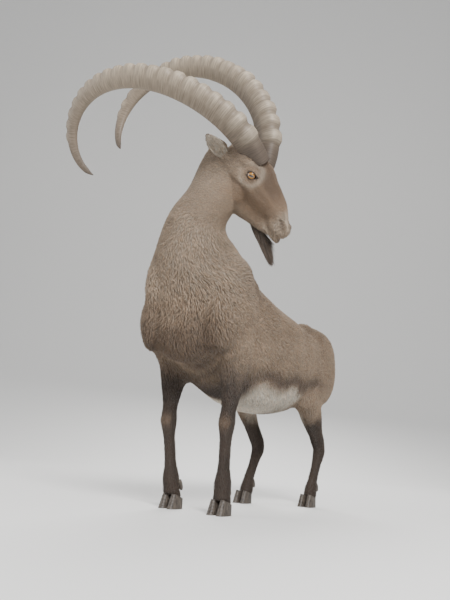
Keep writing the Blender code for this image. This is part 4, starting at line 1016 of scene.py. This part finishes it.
def horn(side):
    """One horn: a rounded triangle swept along its curve, with knobs across the front and fine growth rings.

    Ring radius = taper(share) on a superellipse of power 2.7, narrower at the back, plus
    knob(angle)*rise(share), where rise climbs over 0.4 of a ridge's length and falls off behind it.
    """
    sign = SIDES[side]
    share, places, across, front = horn_path(sign)
    first, last = HORN_RIDGED
    starts = first + (last - first) * (np.arange(HORN_RIDGES + 1) / HORN_RIDGES) ** 0.92
    at = np.concatenate([np.linspace(share[0], 0.9, 300), np.linspace(0.9, 0.9985, 40)[1:]])
    ridge = np.clip(np.searchsorted(starts, at, side="right") - 1, 0, HORN_RIDGES - 1)
    inner = np.clip((at - starts[ridge]) / (starts[ridge + 1] - starts[ridge]), 0, 1)
    rise = step(0.05, 0.42, inner) * (1 - step(0.72, 1.0, inner))
    rise = rise * step(0.0, 0.02, at) * step(0.885, 0.84, at)
    draw = np.random.default_rng(SEED + sign)
    rise = rise * draw.uniform(0.72, 1.12, HORN_RIDGES)[ridge]
    growth = 0.35 * np.sin(at * 560) + 0.3 * np.sin(at * 1370 + 1) + 0.35 * np.sin(at * 905 + 2)
    angles = np.linspace(0, 2 * np.pi, 56, endpoint=False)
    corner = 2.7
    scale = (np.abs(np.cos(angles)) ** corner + np.abs(np.sin(angles)) ** corner) ** (-1 / corner)
    wide, deep = np.cos(angles) * scale, np.sin(angles) * scale
    wide = wide * (1 - 0.26 * np.clip(-deep, 0, 1))
    knob = np.clip(0.35 + 0.9 * np.sin(angles), 0, 1) ** 1.15
    knob = knob * (1 - 0.10 * np.cos(2 * angles) ** 2)
    held = np.clip(at, 0, 1)
    taper = (1 - held**1.9) ** 0.72
    fade = np.minimum(1, (1 - held) / 0.03) ** 0.5
    half_wide = (0.0050 + 0.0265 * taper)[:, None]
    half_deep = (0.0050 + 0.0385 * taper)[:, None]
    bump = (0.0085 * rise * (0.35 + 0.65 * taper))[:, None] * knob
    fine = (0.00035 * growth * (0.3 + 0.7 * taper))[:, None]
    centre, lateral, ahead = (
        np.stack([np.interp(at, share, values[:, axis]) for axis in range(3)], 1)[:, None]
        for values in (places, across, front)
    )
    rings = (
        centre
        + lateral * ((half_wide + 0.30 * bump + fine) * wide * fade[:, None])[..., None]
        + ahead * (((half_deep + fine) * deep + bump) * fade[:, None])[..., None]
    )
    made = capped("horn_" + side + "_sheath", rings)
    flat = np.repeat(at, 56)
    round_about = np.tile(np.sin(angles), len(at))
    # The knobs' height, kept for the finish, which paints them paler: part wear, part painted highlight on
    # their fronts
    raised = (rise[:, None] * knob).ravel()
    values = np.stack([flat, raised, round_about], 1)
    values = np.vstack([values, values[0], values[-1]])
    place = made.data.attributes.new("along_horn", "FLOAT_VECTOR", "POINT")
    place.data.foreach_set("vector", values.astype(np.float32).ravel())
    made.data.shade_smooth()
    return made


def eyeball(side):
    """An eye: a ball of radius r*(0.97 + 0.06*exp(-(angle/28 deg)^2)), angle from the way it looks."""
    centre, look, long, high = eye_frame(side)
    radius = EYE_RADIUS * HEAD_SIZE - 0.0006
    u = np.linspace(0, 2 * np.pi, 64, endpoint=False)
    v = np.linspace(0, np.pi, 50)[1:-1]
    swell = radius * (1 + 0.06 * np.exp(-((np.degrees(v) / 28) ** 2)) - 0.03)[:, None]
    local = np.stack([np.sin(v)[:, None] * np.cos(u) * swell, np.sin(v)[:, None] * np.sin(u) * swell,
                      np.cos(v)[:, None] * np.ones(64) * swell], -1)
    made = capped("eye_" + side + "_globe", centre + local @ np.stack([long, high, look]))
    flat = local.reshape(-1, 3) / radius
    flat = np.vstack([flat, (0, 0, 1), (0, 0, -1)])
    place = made.data.attributes.new("in_eye", "FLOAT_VECTOR", "POINT")
    place.data.foreach_set("vector", flat.astype(np.float32).ravel())
    made.data.shade_smooth()
    return made


def toe(name, node):
    """A hoof over its solid's box: rings of a superellipse of power 2.6 that shrink upwards.

    The rings tilt towards the top by 0.32 of their depth, and the wall carries faint growth rings.
    """
    low, high = (np.array(corner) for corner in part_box(node))
    middle = (low + high) / 2
    heights = np.concatenate([[0.0, 0.0006], np.linspace(0.002, 1.0, 22)])
    angles = np.linspace(0, 2 * np.pi, 48, endpoint=False)
    blunt = (np.abs(np.cos(angles)) ** 2.6 + np.abs(np.sin(angles)) ** 2.6) ** (-1 / 2.6)
    x, y = np.cos(angles) * blunt, np.sin(angles) * blunt
    tall = high[2]
    grow = 1 - 0.20 * heights
    grow[0] *= 0.965
    ring = 0.0004 * np.sin(heights * 34)
    half_y = (high[1] - low[1]) / 2
    half_x = (high[0] - low[0]) / 2
    front_lean = 0.22 * tall * heights
    y_middle = middle[1] + 0.45 * front_lean + 0.006 * heights
    slant = -0.32 * (y[None, :] * half_y * grow[:, None])
    z = tall * 0.86 * heights[:, None] + slant * step(0.0, 1.0, heights)[:, None]
    z = np.maximum(z, 0)
    z[0] = 0
    wide = half_x * grow + ring
    places = np.stack([
        middle[0] + x * wide[:, None] * (1 - 0.12 * np.maximum(0, -y)),
        y_middle[:, None] + y * (half_y * grow * (1 - 0.10 * heights) + ring)[:, None],
        z + 0 * x,
    ], -1)
    made = capped(name, places)
    made.data.shade_smooth()
    return made


def claw(name, node):
    """A dewclaw over its solid's box: a drooping cone, wide in the middle, with a blunt end."""
    low, high = (np.array(corner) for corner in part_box(node))
    middle = (low + high) / 2
    half = (high - low) / 2
    start = np.array((middle[0], low[1] + 0.35 * half[1], high[2] - 0.1 * half[2]))
    end = np.array((middle[0], high[1] - 0.6 * half[1], low[2] + 0.35 * half[2]))
    rows = [(*(start * (1 - t) + end * t), r * half[0] * 0.9, r * half[0])
            for t, r in ((0.0, 0.85), (0.35, 1.0), (0.75, 0.8), (0.95, 0.5), (1.02, 0.15))]
    made = loft(name, rows, (0, 1, 0.3), sides=20, steps=5)
    made.data.shade_smooth()
    return made


def beard(tree):
    """The beard: long hairs rooted along the chin's underside that hang, sweep forward and draw together.

    Hair(t) = root + down*long*t + (sweep + gather)*t^1.6 with a slight wave, in nine three-sided rings.
    """
    draw = np.random.default_rng(SEED + 5)
    count = BEARD_HAIRS
    x = draw.uniform(0.088, 0.150, count)
    y = draw.normal(0, 0.0085, count)
    under = in_head(np.stack([x, y, np.full(count, -0.125)], 1))
    roots, _ = onto_skin(tree, under)
    found = to_head(roots)
    roots = roots[(np.abs(found[:, 1]) < 0.03) & (found[:, 2] > -0.15) & (found[:, 0] > 0.07)]
    count = len(roots)
    ahead = unit(TURN[:, 0] * (1, 1, 0))
    aside = np.array((-ahead[1], ahead[0], 0))
    middle = roots.mean(0)
    off = roots - middle
    back = off @ ahead
    edge = back / 0.032
    long = (0.138 - 0.030 * np.abs(edge) ** 2 + 0.010 * edge) * draw.uniform(0.74, 1.0, count)
    short = draw.uniform(size=count) < 0.22
    long[short] *= draw.uniform(0.45, 0.8, short.sum())
    clump = draw.integers(0, 18, count)
    clump_way = draw.normal(0, 0.0035, (18, 2))[clump]
    gather = -0.42 * back[:, None] * ahead - 0.40 * (off @ aside)[:, None] * aside
    sweep = 0.052 * ahead + clump_way[:, :1] * ahead + clump_way[:, 1:] * aside
    t = np.array((0.0, 0.14, 0.30, 0.48, 0.66, 0.82, 0.93))
    wave = 0.0012 * np.sin(2 * np.pi * (1.4 * t + draw.uniform(0, 1, count)[:, None]))
    line = (
        roots[:, None] + np.array((0, 0, 0.006))
        - np.array((0, 0, 1.0)) * (long[:, None] * t)[..., None]
        + (sweep + gather)[:, None] * (t**1.5)[:, None]
        + aside * wave[..., None]
    )
    half = 0.0012 * draw.uniform(0.7, 1.3, count)[:, None] * np.array((0.6, 0.9, 1.0, 0.95, 0.8, 0.55, 0.3))
    angle = draw.uniform(0, 2 * np.pi, count)
    side = np.cos(angle)[:, None] * ahead + np.sin(angle)[:, None] * aside
    out = np.cross(side, (0, 0, 1.0))
    rings = np.stack([
        line - side[:, None] * half[..., None],
        line + side[:, None] * half[..., None],
        line + out[:, None] * half[..., None] * 0.6,
    ], 2)
    tip = line[:, -1] + (line[:, -1] - line[:, -2]) * 0.6
    points = np.concatenate([rings.reshape(count, -1, 3), tip[:, None]], 1)
    faces = [(0, 2, 1)]
    for ring in range(6):
        a, b = 3 * ring, 3 * ring + 3
        for i in range(3):
            k = (i + 1) % 3
            faces += [(a + i, a + k, b + k), (a + i, b + k, b + i)]
    faces += [(18, 19, 21), (19, 20, 21), (20, 18, 21)]
    faces = (np.arange(count)[:, None, None] * 22 + np.array(faces)).reshape(-1, 3)
    own = np.clip(1 + 0.22 * draw.normal(0, 1, count), 0.5, 1.6)[:, None, None]
    grade = np.array((0.8, 0.85, 0.95, 1.0, 1.1, 1.25, 1.5))
    tones = np.array((0.062, 0.044, 0.032)) * own * np.append(np.repeat(grade, 3), 1.7)[None, :, None]
    middle_place = chart_places(roots, np.tile((0.0, 0.0, -1.0), (count, 1)))
    across_patch = np.append(np.tile((-0.5, 0.5, 0.0), 7), 0)
    along_patch = np.append(np.repeat(t - 0.5, 3), 0.5)
    spot = np.stack([across_patch, along_patch], 1) * PATCH
    made = mesh_piece("beard_hair", points.reshape(-1, 3), faces, np.clip(tones, 0.004, 0.9).reshape(-1, 3),
                      (middle_place[:, None] + spot).reshape(-1, 2))
    return made


# Stops of (position, colour) for horn by length, iris from its middle, and hoof by streak
HORN_TONES = (
    (0.0, (0.075, 0.056, 0.042)),
    (0.12, (0.170, 0.135, 0.100)),
    (0.55, (0.235, 0.190, 0.140)),
    (0.86, (0.170, 0.132, 0.098)),
    (1.0, (0.085, 0.066, 0.050)),
)
# Paler tone laid on the horn's knobs: part wear, part painted highlight where their front faces catch the
# light
WORN_AND_LIT_HORN = (0.420, 0.355, 0.270)
IRIS_TONES = (
    (0.0, (0.26, 0.115, 0.018)),
    (0.42, (0.36, 0.17, 0.028)),
    (0.62, (0.16, 0.065, 0.012)),
    (0.74, (0.012, 0.008, 0.006)),
)
PUPIL = (0.004, 0.003, 0.003)
PUPIL_HALVES = (0.46, 0.18)
HOOF_TONES = ((0.32, (0.018, 0.014, 0.012)), (0.75, (0.120, 0.098, 0.078)))


def new_finish(name, values):
    """A Principled material, its node tree and its shader, with the values on the shader's own sockets."""
    made = bpy.data.materials.new(name)
    made.use_nodes = True
    shader = made.node_tree.nodes["Principled BSDF"]
    for socket, value in values.items():
        shader.inputs[socket].default_value = value
    return made, made.node_tree, shader


def add_node(tree, kind, values=None, **settings):
    """A shader node with its settings, and its values on its own sockets."""
    made = tree.nodes.new("ShaderNode" + kind)
    for name, value in settings.items():
        setattr(made, name, value)
    for socket, value in (values or {}).items():
        made.inputs[socket].default_value = value
    return made


def noise(tree, place, scale, detail):
    """Noise of a scale and a detail, read at a place."""
    made = add_node(tree, "TexNoise", {"Scale": scale, "Detail": detail})
    tree.links.new(place, made.inputs["Vector"])
    return made.outputs["Fac"]


def span(tree, value, low, high, start=0.0, end=1.0):
    """A value carried from start..end to low..high."""
    made = add_node(tree, "MapRange", {"From Min": start, "From Max": end, "To Min": low, "To Max": high})
    tree.links.new(value, made.inputs["Value"])
    return made.outputs["Result"]


def scaled(tree, colour, by):
    """A colour times a value."""
    made = add_node(tree, "VectorMath", operation="SCALE")
    tree.links.new(colour, made.inputs[0])
    tree.links.new(by, made.inputs["Scale"])
    return made.outputs["Vector"]


def computed(tree, operation, first, second=None):
    """A sum on one or two values or sockets."""
    made = add_node(tree, "Math", operation=operation)
    for socket, value in zip(made.inputs, (first, second)):
        if isinstance(value, (int, float)):
            socket.default_value = value
        elif value is not None:
            tree.links.new(value, socket)
    return made.outputs["Value"]


def ramp(tree, value, stops):
    """A colour by value, from stops of (position, colour)."""
    made = add_node(tree, "ValToRGB")
    ends = made.color_ramp.elements
    ends[0].position = stops[0][0]
    ends[0].color = (*stops[0][1], 1)
    ends[1].position = stops[-1][0]
    ends[1].color = (*stops[-1][1], 1)
    for position, colour in stops[1:-1]:
        made.color_ramp.elements.new(position).color = (*colour, 1)
    tree.links.new(value, made.inputs["Fac"])
    return made.outputs["Color"]


def mixed(tree, share, first, second):
    """One colour mixed into another; each is a colour or a socket."""
    made = add_node(tree, "Mix", data_type="RGBA")
    for socket, value in (("A", first), ("B", second)):
        if isinstance(value, tuple):
            made.inputs[socket].default_value = (*value, 1)
        else:
            tree.links.new(value, made.inputs[socket])
    tree.links.new(share, made.inputs["Factor"])
    return made.outputs["Result"]


def raised(tree, height, strength, distance, under=None):
    """A bump by height, over another bump where there is one."""
    made = add_node(tree, "Bump", {"Strength": strength, "Distance": distance})
    tree.links.new(height, made.inputs["Height"])
    if under is not None:
        tree.links.new(under, made.inputs["Normal"])
    return made.outputs["Normal"]


def split_attribute(tree, name):
    """A vector attribute and its three parts."""
    held = add_node(tree, "Attribute", attribute_name=name)
    parts = add_node(tree, "SeparateXYZ")
    tree.links.new(held.outputs["Vector"], parts.inputs["Vector"])
    return held.outputs["Vector"], parts.outputs


def horn_material():
    """Horn: dark grey-brown at the root; knobs painted paler on their front faces, partly wear and partly
    painted highlight, which leaves the grooves between them darker as painted shade; fibres and growth rings.
    """
    made, tree, shader = new_finish("ridged_horn", {"Specular IOR Level": 0.35})
    _, parts = split_attribute(tree, "along_horn")
    base = ramp(tree, parts["X"], HORN_TONES)
    place = add_node(tree, "TexCoord").outputs["Object"]
    blotch = noise(tree, place, 26.0, 6.0)
    spread = add_node(tree, "CombineXYZ")
    tree.links.new(computed(tree, "MULTIPLY", parts["X"], 330.0), spread.inputs["X"])
    tree.links.new(parts["Z"], spread.inputs["Y"])
    rings = noise(tree, spread.outputs["Vector"], 1.0, 4.0)
    # Knobs painted paler by their height and a blotch: part wear, part painted highlight on their lit fronts,
    # the grooves left darker as painted shade
    worn_and_lit = mixed(tree, computed(tree, "MULTIPLY", parts["Y"], blotch), base, WORN_AND_LIT_HORN)
    colour = scaled(tree, worn_and_lit, span(tree, rings, 0.62, 1.25, 0.3, 0.7))
    tree.links.new(colour, shader.inputs["Base Color"])
    tree.links.new(span(tree, blotch, 0.42, 0.72), shader.inputs["Roughness"])
    grooves = raised(tree, rings, 0.6, 0.0012)
    tree.links.new(raised(tree, blotch, 0.4, 0.001, grooves), shader.inputs["Normal"])
    return made


def eye_material():
    """An amber iris with fine rays, a level dark bar of a pupil, and a wet clear coat."""
    wet = {"Roughness": 0.18, "Coat Weight": 1.0, "Coat Roughness": 0.03}
    made, tree, shader = new_finish("amber_eye", wet)
    place, parts = split_attribute(tree, "in_eye")
    squares = [computed(tree, "MULTIPLY", parts[name], parts[name]) for name in ("X", "Y")]
    iris = ramp(tree, computed(tree, "SQRT", computed(tree, "ADD", *squares)), IRIS_TONES)
    rays = span(tree, noise(tree, place, 9.0, 5.0), 0.7, 1.3)
    powers = []
    for name, half in zip(("X", "Y"), PUPIL_HALVES):
        share = computed(tree, "ABSOLUTE", computed(tree, "DIVIDE", parts[name], half))
        powers.append(computed(tree, "POWER", share, 4.0))
    outside = span(tree, computed(tree, "ADD", *powers), 0.0, 1.0, 0.8, 1.25)
    colour = mixed(tree, outside, PUPIL, scaled(tree, iris, rays))
    tree.links.new(colour, shader.inputs["Base Color"])
    return made


def hoof_material():
    """Hoof horn: near-black with paler streaks down the wall and a soft gloss."""
    made, tree, shader = new_finish("hoof_horn", {"Specular IOR Level": 0.4})
    stretched = add_node(tree, "Mapping", {"Scale": (320, 320, 28)})
    place = add_node(tree, "TexCoord").outputs["Object"]
    tree.links.new(place, stretched.inputs["Vector"])
    streak = noise(tree, stretched.outputs["Vector"], 1.0, 4.0)
    tree.links.new(ramp(tree, streak, HOOF_TONES), shader.inputs["Base Color"])
    tree.links.new(span(tree, streak, 0.34, 0.62), shader.inputs["Roughness"])
    tree.links.new(raised(tree, streak, 0.4, 0.0006), shader.inputs["Normal"])
    return made


def coat_material():
    """Hide and hair: the painted markings with a fine grain, a slight sheen and a fine bump."""
    soft = {"Roughness": 0.72, "Specular IOR Level": 0.25, "Sheen Weight": 0.12, "Sheen Roughness": 0.5}
    made, tree, shader = new_finish("coat_hair", soft)
    paint = add_node(tree, "Attribute", attribute_name="coat_colour").outputs["Color"]
    grain = noise(tree, add_node(tree, "TexCoord").outputs["Object"], 420.0, 2.0)
    colour = scaled(tree, paint, span(tree, grain, 0.82, 1.18))
    tree.links.new(colour, shader.inputs["Base Color"])
    tree.links.new(raised(tree, grain, 0.35, 0.0008), shader.inputs["Normal"])
    return made


body, head, ears = make_skin()
skin = joined("skin", [body, head, *ears])
skin.data.shade_smooth()
coat_finish = coat_material()
skin.data.materials.clear()
skin.data.materials.append(coat_finish)
paint = skin.data.attributes.new("coat_colour", "FLOAT_COLOR", "POINT")
tone = markings(points_of(skin), normals_of(skin)) * 0.86
paint.data.foreach_set("color", np.column_stack([tone, np.ones(len(tone))]).astype(np.float32).ravel())
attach(skin, "root")
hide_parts(*FLESH, "head", "ear_left", "ear_right")
pieces, chin = make_coat(skin, coat_finish)
for piece in pieces:
    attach(piece, "root")
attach(chin, "root")
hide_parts("beard")
horn_finish, eye_finish, hoof_finish = horn_material(), eye_material(), hoof_material()
for side in SIDES:
    for piece, finish, slot, node in (
        (horn(side), horn_finish, "horn", "horn_" + side),
        (eyeball(side), eye_finish, "eye", "eye_" + side),
    ):
        piece.data.materials.append(finish)
        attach(piece, "root")
        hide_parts(node)
    for end in ("fore", "hind"):
        for part in ("inner", "outer"):
            node = f"hoof_{end}_{side}_{part}"
            claw_node = f"dewclaw_{end}_{side}_{part}"
            wall = toe(node + "_wall", node)
            spur = claw(claw_node + "_horn", claw_node)
            for piece, name in ((wall, node), (spur, claw_node)):
                piece.data.materials.append(hoof_finish)
                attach(piece, "root")
                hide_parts(name)


COVE = 4.0


def soft_box(name, place, target, size, power):
    """A square area light at a place, facing a target."""
    data = bpy.data.lights.new(name, "AREA")
    data.shape = "SQUARE"
    data.size = size
    data.energy = power
    made = bpy.data.objects.new(name, data)
    made.location = place
    made.rotation_euler = (Vector(target) - Vector(place)).to_track_quat("-Z", "Y").to_euler()
    bpy.context.scene.collection.objects.link(made)
    return made


def make_stage():
    """A pale floor that curves up behind, soft boxes and a faint sky."""
    reach = 14.0
    across = np.linspace(-reach, reach, 3)
    bend = np.linspace(0, math.pi / 2, 40)
    curve = np.stack([2.6 + COVE * np.sin(bend), COVE * (1 - np.cos(bend))], 1)
    line = np.vstack([[(-reach, 0.0)], curve, [(2.6 + COVE, COVE + 6)]])
    turn = math.radians(33.86)
    away = np.array((-math.sin(turn), math.cos(turn), 0))
    right = np.array((math.cos(turn), math.sin(turn), 0))
    points = across[None, :, None] * right + line[:, None, :1] * away
    points = points + line[:, None, 1:] * np.array((0, 0, 1))
    rows = len(line)
    i, j = np.meshgrid(np.arange(rows - 1), np.arange(2), indexing="ij")
    faces = np.stack([i * 3 + j, i * 3 + j + 1, (i + 1) * 3 + j + 1, (i + 1) * 3 + j], -1).reshape(-1, 4)
    floor = new_piece("floor", points.reshape(-1, 3), faces)
    floor.data.shade_smooth()
    pale, _, _ = new_finish("pale_floor", {"Base Color": (0.74, 0.73, 0.71, 1), "Roughness": 0.9})
    floor.data.materials.append(pale)
    aim = (0.03, -0.15, 0.8)
    soft_box("key", (3.0, -2.6, 3.4), aim, 1.9, 400)
    soft_box("fill", (-3.4, -2.6, 1.9), aim, 2.6, 70)
    soft_box("rim", (-1.6, 3.0, 3.0), aim, 2.0, 170)
    world = bpy.data.worlds.new("sky")
    world.use_nodes = True
    world.node_tree.nodes["Background"].inputs["Color"].default_value = (0.88, 0.90, 0.93, 1)
    world.node_tree.nodes["Background"].inputs["Strength"].default_value = 0.60
    bpy.context.scene.world = world


def make_camera():
    """The drawing's view: low, from ahead and the animal's left, turned 4 degrees."""
    data = bpy.data.cameras.new("camera")
    data.sensor_fit = "VERTICAL"
    data.sensor_height = 36.0
    data.sensor_width = 27.0
    data.lens = 643.4 / 600 * 36.0
    data.clip_end = 60
    made = bpy.data.objects.new("camera", data)
    place = Vector((1.293, -2.114, 0.22)) + SHIFT
    target = Vector((0.0117, -0.2041, 0.7375)) + SHIFT
    ahead = (target - place).normalized()
    right = ahead.cross(Vector((0, 0, 1))).normalized()
    up = right.cross(ahead)
    roll = math.radians(4.0)
    level = right * math.cos(roll) + up * math.sin(roll)
    over = up * math.cos(roll) - right * math.sin(roll)
    made.matrix_world = Matrix.Translation(place) @ Matrix((level, over, -ahead)).transposed().to_4x4()
    bpy.context.scene.collection.objects.link(made)
    bpy.context.scene.camera = made


make_stage()
make_camera()
